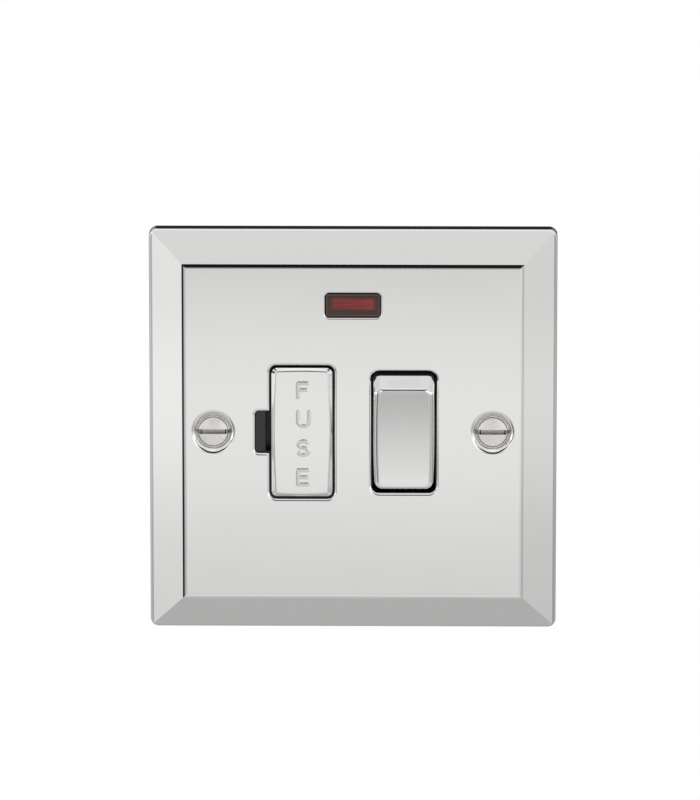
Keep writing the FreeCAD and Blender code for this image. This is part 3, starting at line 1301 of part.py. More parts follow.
def make_fuse_carrier():
    """Black slide with a chrome face. End walls and snap cheeks hold the fuse behind its head."""
    head_front = s.carrier_front - s.cap_skirt
    head_back = head_front - s.slide_head
    body = new_body("fuse_carrier", x=s.fuse_x)
    width = s.carrier_width - s.slide_body_inset * 2
    height = s.carrier_height - s.slide_body_inset * 2
    head = Drawing(body, "head", "front", head_back)
    head.rectangle(0, 0, width, height, s.carrier_corner)
    pad(body, "head_pad", head, s.slide_head)
    plug = Drawing(body, "plug", "front", head_front)
    inset = (s.cap_sheet + s.cap_clearance) * 2
    plug.rectangle(0, 0, s.carrier_width - inset, s.carrier_height - inset)
    pad(body, "plug_pad", plug, s.cap_skirt - s.cap_sheet - s.cap_clearance)
    ends = Drawing(body, "ends", "front", head_back)
    end_z = s.fuse_length / 2 + s.slide_end_gap + s.slide_end_wall / 2
    for sign in (-1, 1):
        ends.rectangle(0, end_z * sign, s.slide_end_half_width * 2, s.slide_end_wall)
    end_back = s.fuse_middle + s.fuse_cap_radius
    pad(body, "ends_pad", ends, head_back + end_back, backwards=True)
    seat = s.fuse_body_radius + s.fuse_seat_clearance
    cheeks = Drawing(body, "cheeks", "front", head_back)
    cheeks.rectangle(0, 0, (seat + s.cheek) * 2, s.cheek_half_height * 2)
    pad(body, "cheeks_pad", cheeks, head_back + s.cheek_rear, backwards=True)
    bed = Drawing(body, "bed", "top")
    bed.circle(0, s.fuse_middle, seat)
    pocket(body, "bed_cut", bed, s.cheek_half_height * 3, symmetric=True)
    throat = Drawing(body, "throat", "top")
    lip = seat - s.fuse_seat_clearance * 4
    throat.box(-lip, lip, s.fuse_middle, s.cheek_rear + s.cheek)
    pocket(body, "throat_cut", throat, s.cheek_half_height * 3, symmetric=True)
    catch = Drawing(body, "catch", "side", -(width / 2))
    catch_half = s.notch_height / 2 - s.ledge_clearance
    middle = head_back + s.slide_head / 2
    catch.box(-(middle + s.slide_head / 4), -(middle - s.slide_head / 4), -catch_half, catch_half)
    pocket(body, "catch_cut", catch, s.catch_depth, backwards=True)
    cap = new_body("fuse_carrier_cap", x=s.fuse_x)
    face = Drawing(cap, "face", "front", head_front)
    face.rectangle(0, 0, s.carrier_width, s.carrier_height, s.carrier_corner)
    pad(cap, "face_pad", face, s.cap_skirt - s.carrier_bevel_depth)
    bevel = Drawing(cap, "bevel", "front", s.carrier_front - s.carrier_bevel_depth)
    bevel.rectangle(0, 0, s.carrier_width, s.carrier_height, s.carrier_corner)
    flat = Drawing(cap, "flat", "front", s.carrier_front)
    flat.bowed(
        s.carrier_width - s.carrier_bevel * 2,
        s.carrier_height - s.carrier_bevel * 2,
        s.carrier_bow,
        s.carrier_end_bow,
        s.carrier_face_corner,
    )
    loft(cap, "bevel_loft", bevel, flat)
    inside = Drawing(cap, "inside", "front", head_front)
    inside.rectangle(0, 0, s.carrier_width - s.cap_sheet * 2, s.carrier_height - s.cap_sheet * 2)
    pocket(cap, "inside_cut", inside, s.cap_skirt - s.cap_sheet, backwards=True)
    rounded(cap, "face_edges", s.carrier_edge, lambda point: near(-point.y, s.carrier_front))


def make_fuse():
    """Cartridge fuse: a ceramic tube with a drawn cap pressed over each end."""
    half = s.fuse_length / 2
    place = {"x": s.fuse_x, "y": s.fuse_middle}
    tube = new_body("fuse_tube", **place)
    end = half - s.fuse_cap_wall
    step = half - s.fuse_cap_length
    profile = Drawing(tube, "profile", "front")
    profile.outline(
        (0, -end),
        (s.fuse_tube_radius, -end),
        (s.fuse_tube_radius, -step),
        (s.fuse_body_radius, -step),
        (s.fuse_body_radius, step),
        (s.fuse_tube_radius, step),
        (s.fuse_tube_radius, end),
        (0, end),
    )
    turned(tube, "turned", profile)
    inner = s.fuse_cap_radius - s.fuse_cap_wall
    for name, sign in (("top", 1), ("bottom", -1)):
        cap = new_body(f"fuse_cap_{name}", **place)
        cup = Drawing(cap, "cup", "front")
        cup.outline(
            (0, half * sign),
            (s.fuse_cap_radius, half * sign),
            (s.fuse_cap_radius, step * sign),
            (inner, step * sign),
            (inner, end * sign),
            (0, end * sign),
        )
        turned(cap, "turned", cup)
        rounded(cap, "rim", s.fuse_cap_edge, lambda point, z=half * sign: near(point.z, z))


def make_neon():
    """Red lens behind the panel with ribs inside, the lamp, its resistor and their leads, which run
    back to the load live and load neutral strips."""
    front = s.plate_front - s.sheet
    lens = new_body("neon_lens", z=s.neon_z)
    flange = Drawing(lens, "flange", "front", front - s.lens_flange_depth)
    flange.rectangle(
        0, 0, s.neon_width + s.lens_flange * 2, s.neon_height + s.lens_flange_height * 2
    )
    pad(lens, "flange_pad", flange, s.lens_flange_depth)
    window = Drawing(lens, "window", "front", front)
    gap = s.lens_clearance * 2
    window.rectangle(0, 0, s.neon_width - gap, s.neon_height - gap, s.neon_corner - s.lens_clearance)
    pad(lens, "window_pad", window, s.lens_front - front)
    hollow = Drawing(lens, "hollow", "front", front - s.lens_flange_depth)
    hollow.rectangle(0, 0, s.lens_hollow_width, s.lens_hollow_height)
    roof = s.lens_front - s.lens_face
    pocket(lens, "hollow_cut", hollow, roof - (front - s.lens_flange_depth), backwards=True)
    ribs = Drawing(lens, "ribs", "front", roof)
    count = round(s.lens_ribs.value)
    for index in range(count):
        z = s.lens_hollow_height / (count + 1) * (index - (count - 1) / 2)
        ribs.rectangle(0, z, s.lens_hollow_width, s.lens_rib)
    pad(lens, "ribs_pad", ribs, s.lens_rib, backwards=True)
    lamp = new_body("neon_lamp", y=-s.lamp_front, z=s.neon_z)
    half = s.lamp_length / 2
    shoulder = s.lamp_radius - s.lamp_shoulder
    bulb = Drawing(lamp, "bulb", "top")
    bulb.outline(
        (-half, 0),
        (half, 0),
        (half, shoulder),
        (half - s.lamp_shoulder, s.lamp_radius),
        (s.lamp_shoulder - half, s.lamp_radius),
        (-half, shoulder),
    )
    turned(lamp, "turned", bulb, axis="H_Axis")
    resistor = new_body("neon_resistor", x=s.resistor_x, y=-s.lamp_front, z=s.neon_z)
    end = s.resistor_length / 2
    waist = s.resistor_radius - s.resistor_waist
    neck = end - s.resistor_cap
    shape = Drawing(resistor, "shape", "top")
    shape.outline(
        (-end, 0),
        (end, 0),
        (end, s.resistor_radius),
        (neck, s.resistor_radius),
        (neck - s.resistor_waist, waist),
        (s.resistor_waist - neck, waist),
        (-neck, s.resistor_radius),
        (-end, s.resistor_radius),
    )
    turned(resistor, "turned", shape, axis="H_Axis")
    for name, start, sign in (("live", -half, -1), ("neutral", s.resistor_x + end, 1)):
        lead = new_body(f"neon_lead_{name}", z=s.neon_z)
        corner_x = s.lead_x * sign
        path = Drawing(lead, "path", "top")
        path.outline(
            (start, -s.lamp_front),
            (corner_x - s.lead_bend * sign, -s.lamp_front),
            (corner_x, s.lead_bend - s.lamp_front, s.lead_bend, sign),
            (corner_x, s.strip_front),
            closed=False,
        )
        section = Drawing(lead, "section", "side", start)
        section.circle(-s.lamp_front, 0, s.lead_radius)
        wire = feature(lead, "AdditivePipe", "wire", section)
        wire.Spine = (path.sketch, ["Edge1", "Edge2", "Edge3"])
    link = new_body("neon_link", x=half, y=-s.lamp_front, z=s.neon_z)
    rod = Drawing(link, "rod", "side")
    rod.circle(0, 0, s.lead_radius)
    pad(link, "rod_pad", rod, s.resistor_x - end - half)


def make_earth_strap():
    """Flat bar under one pillar, so that the plate is earthed, with two legs that end in feet under
    the earth terminals."""
    body = new_body("earth_strap")
    flat = Drawing(body, "flat", "front", -s.split_rear)
    strap_outline(flat, 0)
    pad(body, "flat_pad", flat, s.strip, backwards=True)
    eye = Drawing(body, "eye", "front", -s.split_rear)
    eye.circle(-s.pillar_x, s.pillar_z, s.screw_radius + s.screw_hole_clearance)
    pocket(body, "eye_cut", eye)
    back = s.split_rear + s.strip
    legs = Drawing(body, "legs", "front", -back)
    feet = Drawing(body, "feet", "front", -s.strip_front)
    for x, sign in ((s.load_earth_x, 1), (s.supply_earth_x, -1)):
        legs.rectangle(x, s.strap_leg_z * sign, s.strap_width, s.strip)
        feet.rectangle(x, s.terminal_z * sign, s.strap_foot, s.block_height)
    pad(body, "legs_pad", legs, s.strip_front - back, backwards=True)
    pad(body, "feet_pad", feet, s.strip, backwards=True)


def check_document():
    """Stops if any object of the document failed or any sub-part has no sound shape."""
    failed = [item.Name for item in document.Objects if {"Invalid", "Error"} & set(item.State)]
    unsound = [b.Label for b in bodies if b.Shape.isNull() or not b.Shape.isValid()]
    split = [b.Label for b in bodies if len(b.Shape.Solids) != 1]
    if failed or unsound or split:
        raise RuntimeError(f"failed: {failed}, unsound: {unsound}, not one solid: {split}")


make_faceplate()
make_fixing_screws()
make_plate_pillars()
make_assembly_screws()
make_front_housing()
make_rear_cover()
make_terminals()
make_fuse_clips()
make_strips()
make_poles()
make_rocker()
make_fuse_carrier()
make_fuse()
make_neon()
make_earth_strap()
document.recompute()
check_document()
os.makedirs("parts", exist_ok=True)
for body in bodies:
    body.Shape.exportStep(f"parts/{body.Label}.step")
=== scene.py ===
"""Looks of a fused spur unit: chrome plate, fuse carrier, rocker and red neon window.

Everything is in metres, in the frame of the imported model: +X right, +Z up, +Y into the wall.
"""

import math

import bmesh
import bpy
from mathutils import Matrix, Vector


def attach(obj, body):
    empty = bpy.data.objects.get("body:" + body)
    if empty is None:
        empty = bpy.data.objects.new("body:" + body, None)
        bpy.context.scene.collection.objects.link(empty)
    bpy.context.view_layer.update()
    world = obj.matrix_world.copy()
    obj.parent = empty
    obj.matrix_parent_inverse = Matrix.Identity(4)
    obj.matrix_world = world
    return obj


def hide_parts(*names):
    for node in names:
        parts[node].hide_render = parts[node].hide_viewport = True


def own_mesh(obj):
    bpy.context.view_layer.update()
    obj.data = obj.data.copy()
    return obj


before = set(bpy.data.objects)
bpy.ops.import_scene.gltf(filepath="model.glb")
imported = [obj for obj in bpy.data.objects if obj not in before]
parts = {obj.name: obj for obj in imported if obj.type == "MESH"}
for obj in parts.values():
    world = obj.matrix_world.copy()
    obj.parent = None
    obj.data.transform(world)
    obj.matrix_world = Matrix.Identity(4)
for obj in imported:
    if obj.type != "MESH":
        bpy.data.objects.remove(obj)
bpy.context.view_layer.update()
MM = 0.001

# Camera
# Looks at the plate from just right of its middle and 12 degrees above it, from far away, so the
# plate stays almost square. The lens is long, and a small shift puts the plate low in the picture.
camera_azimuth = math.radians(0.71)
camera_elevation = math.radians(12.33)
camera_distance = 1.7
camera_back = Vector(
    (
        math.sin(camera_azimuth) * math.cos(camera_elevation),
        -math.cos(camera_azimuth) * math.cos(camera_elevation),
        math.sin(camera_elevation),
    )
)
camera_data = bpy.data.cameras.new("camera")
camera_data.sensor_width = 36
camera_data.lens = 353.1
camera_data.shift_x = -0.0041
camera_data.shift_y = 0.0318
camera_data.clip_start = 0.1
camera_data.clip_end = 20
camera_data.dof.use_dof = False
camera = bpy.data.objects.new("camera", camera_data)
camera.location = camera_back * camera_distance
camera.rotation_euler = (-camera_back).to_track_quat("-Z", "Y").to_euler()
bpy.context.scene.collection.objects.link(camera)
bpy.context.scene.camera = camera
bpy.context.scene.view_settings.view_transform = "Standard"


# Studio
# A white tent with light cards: polished metal sees bright cards in front, above and at the sides,
# and dark gaps between them. Everything else is lit evenly by the white of the tent.
class Channel:
    """A value in a node tree; arithmetic on it adds the Math nodes that work it out."""

    def __init__(self, nodes, socket):
        self.nodes = nodes
        self.socket = socket

    def part(self, output):
        return Channel(self.nodes, self.socket.node.outputs[output])

    def math(self, operation, first, second=0.0):
        return self.nodes.add("ShaderNodeMath", {"operation": operation}, {0: first, 1: second})

    def __add__(self, other):
        return self.math("ADD", self, other)

    def __sub__(self, other):
        return self.math("SUBTRACT", self, other)

    def __mul__(self, other):
        return self.math("MULTIPLY", self, other)

    def __truediv__(self, other):
        return self.math("DIVIDE", self, other)

    def __pow__(self, other):
        return self.math("POWER", self, other)

    def __radd__(self, other):
        return self.math("ADD", other, self)

    def __rsub__(self, other):
        return self.math("SUBTRACT", other, self)

    def __neg__(self):
        return self.math("MULTIPLY", self, -1.0)

    def __abs__(self):
        return self.math("ABSOLUTE", self)

    def above(self, level):
        """How far it is above a level, or 0."""
        return self.math("MAXIMUM", self - level, 0.0)

    def rises(self, start, end):
        """0 below start and 1 above end, with a soft step between them."""
        return self.nodes.add(
            "ShaderNodeMapRange", {"interpolation_type": "SMOOTHSTEP"}, {0: self, 1: start, 2: end}
        )


class Nodes:
    """One node tree, built by add(): a node's type, its settings and its sockets."""

    def __init__(self, tree):
        self.tree = tree
        tree.nodes.clear()

    def add(self, kind, settings=None, sockets=None, output=0):
        made = self.tree.nodes.new(kind)
        for name, setting in (settings or {}).items():
            if name == "stops":
                elements = made.color_ramp.elements
                while len(elements) < len(setting):
                    elements.new(0.5)
                for element, (position, colour) in zip(elements, setting):
                    element.position = position
                    element.color = colour
            else:
                setattr(made, name, setting)
        for name, value in (sockets or {}).items():
            if isinstance(value, Channel):
                self.tree.links.new(value.socket, made.inputs[name])
            else:
                made.inputs[name].default_value = value
        return Channel(self, made.outputs[output]) if made.outputs else None

    def mixed(self, share, first, second):
        return self.add("ShaderNodeMix", {"data_type": "RGBA"}, {0: share, 6: first, 7: second}, 2)


def seen(level, reflectance=1.0):
    """Linear light that shows as this level, 0 to 255, on a surface of this reflectance."""
    share = level / 255
    return (share / 12.92 if share < 0.04045 else ((share + 0.055) / 1.055) ** 2.4) / reflectance


def colour(red, green, blue):
    return (seen(red), seen(green), seen(blue), 1.0)


def ladder(nodes, value, low, high, levels, reflectance):
    """A ramp of levels along a value that runs from low to high."""
    stops = []
    for place, level in levels:
        light = seen(level, reflectance)
        stops.append(((place - low) / (high - low), (light, light, light, 1.0)))
    share = (value - low) / (high - low)
    return nodes.add("ShaderNodeValToRGB", {"stops": stops}, {0: share})


chrome_reflectance = 0.90
world = bpy.data.worlds.new("studio")
bpy.context.scene.world = world
world.use_nodes = True
sky = Nodes(world.node_tree)
direction = sky.add("ShaderNodeTexCoord")
across = sky.add("ShaderNodeSeparateXYZ", None, {0: direction})
deep, high = across.part(1), across.part(2)
never_zero = 1e-6
level_run = (across * across + deep * deep + never_zero) ** 0.5
bearing = across / level_run
# straight ahead of the plate, from the floor up to the ceiling
column = ladder(
    sky,
    high,
    -1.0,
    1.0,
    (
        (-1.0, 160),
        (-0.92, 171),
        (-0.72, 198),
        (-0.52, 224),
        (-0.44, 202),
        (-0.415, 192),
        (-0.39, 182),
        (-0.36, 178),
        (-0.29, 190),
        (-0.236, 205),
        (-0.229, 211),
        (-0.225, 219),
        (-0.216, 229),
        (-0.205, 226),
        (-0.198, 213),
        (-0.19, 200),
        (-0.12, 184),
        (-0.05, 170),
        (0.06, 156),
        (0.17, 36),
        (0.24, 22),
        (0.60, 16),
        (0.622, 130),
        (0.645, 213),
        (0.68, 216),
        (0.8, 226),
        (0.93, 246),
        (0.975, 234),
        (1.0, 212),
    ),
    chrome_reflectance,
)
# round the sides, at the height that the plate's bevels see
ring = ladder(
    sky,
    bearing,
    -1.0,
    1.0,
    (
        (-1.0, 174),
        (-0.975, 182),
        (-0.95, 230),
        (-0.86, 228),
        (-0.79, 224),
        (-0.765, 30),
        (-0.65, 24),
        (-0.58, 128),
        (-0.45, 182),
        (-0.25, 198),
        (0.0, 222),
        (0.3, 214),
        (0.48, 202),
        (0.63, 180),
        (0.76, 184),
        (0.79, 208),
        (0.9, 214),
        (0.95, 208),
        (0.975, 168),
        (1.0, 160),
    ),
    chrome_reflectance,
)
# the ring brightens upwards, with a soft hump where the middle of the side bevels sees it
mirror_drop = 0.213  # sine of how far below level the plate mirrors the camera
ring_dimmest, ring_slope = 0.78, 4.0
hump = ((-0.2284, -0.2144, 0.152), (-0.2094, -0.1949, -0.18), (-0.191, -0.175, 0.088))
glow = -sum(rise for _, _, rise in hump)
for hump_start, hump_end, rise in hump:
    glow = glow + high.rises(hump_start, hump_end) * rise
fall = ring_dimmest + (1.0 - ring_dimmest + (high + mirror_drop) * ring_slope + glow).above(0.0)
sides = abs(bearing).rises(0.06, 0.22) * (1.0 - abs(high + 0.2).rises(0.25, 0.5))
ring_light = sky.add("ShaderNodeVectorMath", {"operation": "SCALE"}, {0: ring, 3: fall})
cards = sky.mixed(sides, column, ring_light)
# behind the plate: grey walls at the sides, a dark wall between them and the pale floor below
back_wall = ladder(
    sky,
    bearing,
    -1.0,
    1.0,
    (
        (-1.0, 184),
        (-0.5, 172),
        (-0.2, 150),
        (-0.08, 38),
        (0.1, 38),
        (0.25, 130),
        (0.5, 152),
        (1.0, 164),
    ),
    chrome_reflectance,
)
pale_floor = 1.0 - high.rises(-0.75, -0.35)
back_wall = sky.mixed(pale_floor, back_wall, colour(176, 176, 174))
# pale cards high up at both sides
wings = abs(bearing).rises(0.5, 0.7) * high.rises(0.12, 0.3)
cards = sky.mixed(wings, cards, colour(226, 228, 228))
cards = sky.mixed(deep.rises(0.2, 0.5), cards, back_wall)
metal_sees = sky.add("ShaderNodeLightPath").part("Is Glossy Ray")
tent = sky.mixed(metal_sees, (1.0, 1.0, 1.0, 1.0), cards)
light = sky.add("ShaderNodeBackground", None, {"Color": tent, "Strength": 1.0})
sky.add("ShaderNodeOutputWorld", None, {"Surface": light})

# Floor
# Plain white board, well below the plate, seen from above only. It keeps a soft shadow, brought up
# to white for the camera; metal and glass look through it to the studio.
floor_level, floor_side, floor_near, floor_far = -0.32, 6, -6, 8
floor_mesh = bpy.data.meshes.new("floor")
floor_mesh.from_pydata(
    [
        (-floor_side, floor_near, floor_level),
        (floor_side, floor_near, floor_level),
        (floor_side, floor_far, floor_level),
        (-floor_side, floor_far, floor_level),
    ],
    [],
    [(0, 1, 2, 3)],
)
floor = bpy.data.objects.new("floor", floor_mesh)
bpy.context.scene.collection.objects.link(floor)
board = bpy.data.materials.new("white_board")
board.use_nodes = True
nodes = Nodes(board.node_tree)
path = nodes.add("ShaderNodeLightPath")
below = nodes.add("ShaderNodeNewGeometry").part("Backfacing")
card = nodes.add("ShaderNodeBsdfDiffuse", None, {"Color": (0.8, 0.8, 0.8, 1.0)})
lift = nodes.add("ShaderNodeEmission", None, {"Color": (1.0, 1.0, 1.0, 1.0), "Strength": 0.2})
bright_card = nodes.add("ShaderNodeAddShader", None, {0: card, 1: lift})
clear = nodes.add("ShaderNodeBsdfTransparent")
looks_through = path.part("Is Glossy Ray") + path.part("Is Transmission Ray") + below
from_camera = path.part("Is Camera Ray")
for_camera = nodes.add("ShaderNodeMixShader", None, {0: from_camera, 1: card, 2: bright_card})
surface = nodes.add("ShaderNodeMixShader", None, {0: looks_through, 1: for_camera, 2: clear})
nodes.add("ShaderNodeOutputMaterial", None, {"Surface": surface})
floor_mesh.materials.append(board)


# Rear cover
# Compression-moulded black thermoset base. Its skin is matt, with faint flow marks and a slight
# grain, and it is screwed to the plate's pillars with the front housing between them.
def new_finish(name):
    material = bpy.data.materials.new(name)
    material.use_nodes = True
    return material, Nodes(material.node_tree)


def close_finish(nodes, sockets):
    shader = nodes.add("ShaderNodeBsdfPrincipled", None, sockets)
    nodes.add("ShaderNodeOutputMaterial", None, {"Surface": shader})


def grain(nodes, size, detail=3.0, stretch=(1.0, 1.0, 1.0)):
    """Noise whose grains are this many millimetres across, stretched along the axes."""
    place = nodes.add("ShaderNodeTexCoord", output="Object")
    place = nodes.add("ShaderNodeVectorMath", {"operation": "MULTIPLY"}, {0: place, 1: stretch})
    return nodes.add(
        "ShaderNodeTexNoise", None, {"Vector": place, "Scale": 1 / (size * MM), "Detail": detail}
    )


def bumped(nodes, height, depth, strength=1.0):
    """Normal of a surface with this relief, depth in millimetres."""
    return nodes.add(
        "ShaderNodeBump", None, {"Height": height, "Distance": depth * MM, "Strength": strength}
    )


def dress(material, *names):
    for name in names:
        for slot in parts[name].material_slots:
            slot.material = material


rear_moulding, nodes = new_finish("matt_black_moulding")
flow = grain(nodes, 9.0, 4.0, (1.0, 1.0, 0.4))
skin = grain(nodes, 0.35, 2.0)
close_finish(
    nodes,
    {
        "Base Color": nodes.mixed(flow.rises(0.3, 0.7), colour(46, 46, 47), colour(58, 58, 59)),
        "Roughness": 0.42 + flow * 0.18,
        "Specular IOR Level": 0.5,
        "Normal": bumped(nodes, skin, 0.02, 0.5),
    },
)
dress(rear_moulding, "rear_cover")

# Terminals
# Blocks sawn from drawn brass bar, drilled across for the wire and tapped for the clamp screw. They
# drop into their bays on top of the strips' feet.
block_brass, nodes = new_finish("drawn_brass")
drawn = grain(nodes, 0.5, 3.0, (1.0, 1.0, 0.06))
tarnish = grain(nodes, 3.0, 4.0)
close_finish(
    nodes,
    {
        "Base Color": nodes.mixed(
            tarnish.rises(0.35, 0.75), colour(214, 178, 104), colour(176, 138, 72)
        ),
        "Metallic": 1.0,
        "Roughness": 0.24 + drawn * 0.16,
        "Normal": bumped(nodes, drawn, 0.02, 0.6),
    },
)
circuits = (
    "load_live",
    "load_earth",
    "load_neutral",
    "supply_earth",
    "supply_live",
    "supply_neutral",
)
dress(block_brass, *[f"{name}_terminal" for name in circuits])

# Clamp screws, assembly screws and plate pillars
# Steel, bright zinc plated with a faint yellow passivation. The clamp screws are backed out; the
# assembly screws sit deep in the rear cover's counterbores and turn into the plate's pillars.
zinc, nodes = new_finish("zinc_plated_steel")
spangle = grain(nodes, 0.8, 2.0)
close_finish(
    nodes,
    {
        "Base Color": nodes.mixed(
            spangle.rises(0.3, 0.7), colour(196, 196, 190), colour(214, 206, 180)
        ),
        "Metallic": 1.0,
        "Roughness": 0.28 + spangle * 0.14,
        "Normal": bumped(nodes, spangle, 0.01, 0.4),
    },
)
corners = ("left_top", "right_top", "left_bottom", "right_bottom")
dress(zinc, *[f"{name}_clamp_screw" for name in circuits])
dress(zinc, *[f"assembly_screw_{name}" for name in corners])
dress(zinc, *[f"plate_pillar_{name}" for name in corners])

# Strips, clips and see-saw contacts
# Pressed from rolled brass, tin-bright on the sheared edges and slightly darker on the faces. The
# clips are spring-hard; the see-saws rock on the knife edges of the supply strips.
strip_brass, nodes = new_finish("rolled_brass")
rolled = grain(nodes, 0.4, 3.0, (0.08, 1.0, 1.0))
oxide = grain(nodes, 2.2, 4.0)
close_finish(
    nodes,
    {
        "Base Color": nodes.mixed(
            oxide.rises(0.3, 0.75), colour(208, 168, 96), colour(160, 116, 66)
        ),
        "Metallic": 1.0,
        "Roughness": 0.30 + rolled * 0.18,
        "Normal": bumped(nodes, rolled, 0.015, 0.6),
    },
)
dress(
    strip_brass,
    "fuse_clip_top",
    "fuse_clip_bottom",
    "load_neutral_strip",
    "supply_live_strip",
    "supply_neutral_strip",
    "moving_contact_live",
    "moving_contact_neutral",
    "earth_strap",
)

# Contact tips
# Silver rivets, headed cold in the see-saws and the fixed strips, dulled by a little sulphide.
silver, nodes = new_finish("contact_silver")
dull = grain(nodes, 0.6, 3.0)
close_finish(
    nodes,
    {
        "Base Color": nodes.mixed(
            dull.rises(0.3, 0.7), colour(232, 230, 224), colour(196, 190, 178)
        ),
        "Metallic": 1.0,
        "Roughness": 0.26 + dull * 0.2,
    },
)
dress(silver, "moving_tip_live", "moving_tip_neutral", "fixed_tip_live", "fixed_tip_neutral")

# Plungers
# Natural nylon pins in the rocker's barrels; springs push them on to the see-saws.
nylon, nodes = new_finish("natural_nylon")
cloud = grain(nodes, 1.5, 2.0)
close_finish(
    nodes,
    {
        "Base Color": nodes.mixed(cloud, colour(236, 230, 214), colour(222, 214, 194)),
        "Roughness": 0.34 + cloud * 0.14,
        "Subsurface Weight": 0.15,
        "Subsurface Scale": 0.001,
    },
)
dress(nylon, "plunger_live", "plunger_neutral")


# Plunger springs
# Cold-coiled spring wire with closed ends, one in each barrel of the rocker. Each lies along the
# plunger that it pushes.
def tube(name, points, radius):
    """A mesh tube along points, closed at both ends."""
    curve = bpy.data.curves.new(name, "CURVE")
    curve.dimensions = "3D"
    curve.bevel_depth = radius
    curve.bevel_resolution = 2
    curve.use_fill_caps = True
    spline = curve.splines.new("POLY")
    spline.points.add(len(points) - 1)
    for place, point in zip(spline.points, points):
        place.co = (*point, 1.0)
    temporary = bpy.data.objects.new(name, curve)
    mesh = bpy.data.meshes.new_from_object(temporary)
    mesh.name = name
    bpy.data.objects.remove(temporary)
    mesh.polygons.foreach_set("use_smooth", [True] * len(mesh.polygons))
    return mesh


def place_piece(name, mesh, material, body):
    piece = bpy.data.objects.new(name, mesh)
    mesh.materials.clear()
    mesh.materials.append(material)
    bpy.context.scene.collection.objects.link(piece)
    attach(piece, body)
    return piece


spring_wire, nodes = new_finish("spring_wire")
drawn_wire = grain(nodes, 0.2, 2.0)
close_finish(
    nodes,
    {
        "Base Color": nodes.mixed(drawn_wire, colour(150, 150, 152), colour(176, 176, 178)),
        "Metallic": 1.0,
        "Roughness": 0.3 + drawn_wire * 0.15,
    },
)
coil_radius, coil_wire, coil_turns, steps_per_turn = 0.93 * MM, 0.15 * MM, 7.0, 20
closed_turns, closed_rise = 0.12, 0.08  # shares of the coil's turns and length
start, end, plunger_travel = -0.28 * MM, 2.78 * MM, 0.6 * MM
rocker_x, pivot_y, rest_lean = 11.0, -0.1, math.radians(7.0)  # of the rocker, also used below
for circuit, middle in (("live", 7.7 * MM), ("neutral", 14.3 * MM)):
    pivot = Vector((middle, pivot_y * MM, 0.0))
    along = Vector((0.0, math.cos(rest_lean), math.sin(rest_lean)))
    aside = Vector((1.0, 0.0, 0.0))
    up = aside.cross(along)
    steps = int(coil_turns * steps_per_turn)
    coil = []
    for step in range(steps + 1):
        share = step / steps
        turn = share * coil_turns * math.tau
        opened = min(1.0, max(0.0, (share - closed_turns) / (1 - 2 * closed_turns)))
        reach = start + (end - start) * (closed_rise * share + (1 - closed_rise) * opened)
        coil.append(
            pivot + along * reach + (aside * math.cos(turn) + up * math.sin(turn)) * coil_radius
        )
    mesh = tube(f"coil_{circuit}", coil, coil_wire)
    spring = place_piece(f"coil_{circuit}", mesh, spring_wire, "rocker_body")
    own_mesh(spring)
    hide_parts(f"plunger_spring_{circuit}")

# Front housing, carrier slide and rocker body
# Injection-moulded black plastic with a satin skin. The housing shows in the screwdriver notch and
# in the gaps round the carrier and the rocker; the slide and the rocker are darkest in their wells.
satin_black, nodes = new_finish("satin_black_moulding")
flow = grain(nodes, 6.0, 3.0)
skin = grain(nodes, 0.25, 2.0)
close_finish(
    nodes,
    {
        "Base Color": nodes.mixed(flow, colour(36, 35, 35), colour(46, 45, 45)),
        "Roughness": 0.26 + flow * 0.12,
        "Specular IOR Level": 0.5,
        "Normal": bumped(nodes, skin, 0.01, 0.4),
    },
)
dress(satin_black, "front_housing", "fuse_carrier", "rocker")

# Faceplate and chrome faces
# Mild steel pressed with a bevelled edge, polished, nickel plated and bright chromed. The carrier's
# and the rocker's faces are moulded shells, plated the same way. The polish leaves a faint ripple.
ripple_size, ripple_height, haze_size = 26.0, 0.012, 5.0
mirror_roughness, haze_roughness = 0.035, 0.02


def polished(name, form=None, turned=None, blur=0.0):
    """Bright chrome. form gives a soft shape of the surface in millimetres, turned its normals."""
    material, nodes = new_finish(name)
    ripple = grain(nodes, ripple_size, 1.0)
    haze = grain(nodes, haze_size, 4.0)
    height = ripple * ripple_height
    if form:
        height = height + form(nodes)
    normal = bumped(nodes, height, 1.0)
    if turned:
        normal = turned(nodes, normal)
    finish = mirror_roughness + blur
    close_finish(
        nodes,
        {
            "Base Color": nodes.mixed(haze, (0.895, 0.9, 0.885, 1.0), (0.91, 0.912, 0.90, 1.0)),
            "Metallic": 1.0,
            "Roughness": finish + haze * haze_roughness,
            "Normal": normal,
        },
    )
    return material


carrier_x, notch_x, screw_x, near_panel = -11.0, -19.0, 30.15, 6.1
mouth_inner, mouth_outer, mouth_blend, mouth_turn = 4.02, 4.86, 0.02, math.radians(45)
lip_start, lip_end, lip_fall = 0.14, 0.58, 0.085
rim_start, rim_slope = 43.25, 0.3
# middle, half width, half height and corner of the carrier's and the rocker's holes and the notch
holes = (
    (carrier_x, 7.0, 14.7, 1.5),
    (rocker_x, 7.025, 13.45, 1.7),
    (notch_x, 2.1, 4.6, 0.8),
)


def placed(nodes):
    """Where a point of the surface lies, as x, y and z in millimetres."""
    place = nodes.add("ShaderNodeTexCoord", output="Object")
    place = nodes.add("ShaderNodeSeparateXYZ", None, {0: place})
    return place / MM, place.part(1) / MM, place.part(2) / MM


def soft_edges(nodes):
    """The panel falls gently into its cut-outs, and the side bevels steepen at the plate's rim."""
    across, _, upward = placed(nodes)
    nearest = lip_end
    for middle, half_width, half_height, corner in holes:
        past_side = abs(across - middle).above(half_width - corner)
        past_end = abs(upward).above(half_height - corner)
        past_edge = (past_side * past_side + past_end * past_end) ** 0.5 - corner
        nearest = past_edge.math("MINIMUM", past_edge, nearest)
    rim = abs(across).above(rim_start) * rim_slope
    return nearest.rises(lip_start, lip_end) * lip_fall - rim


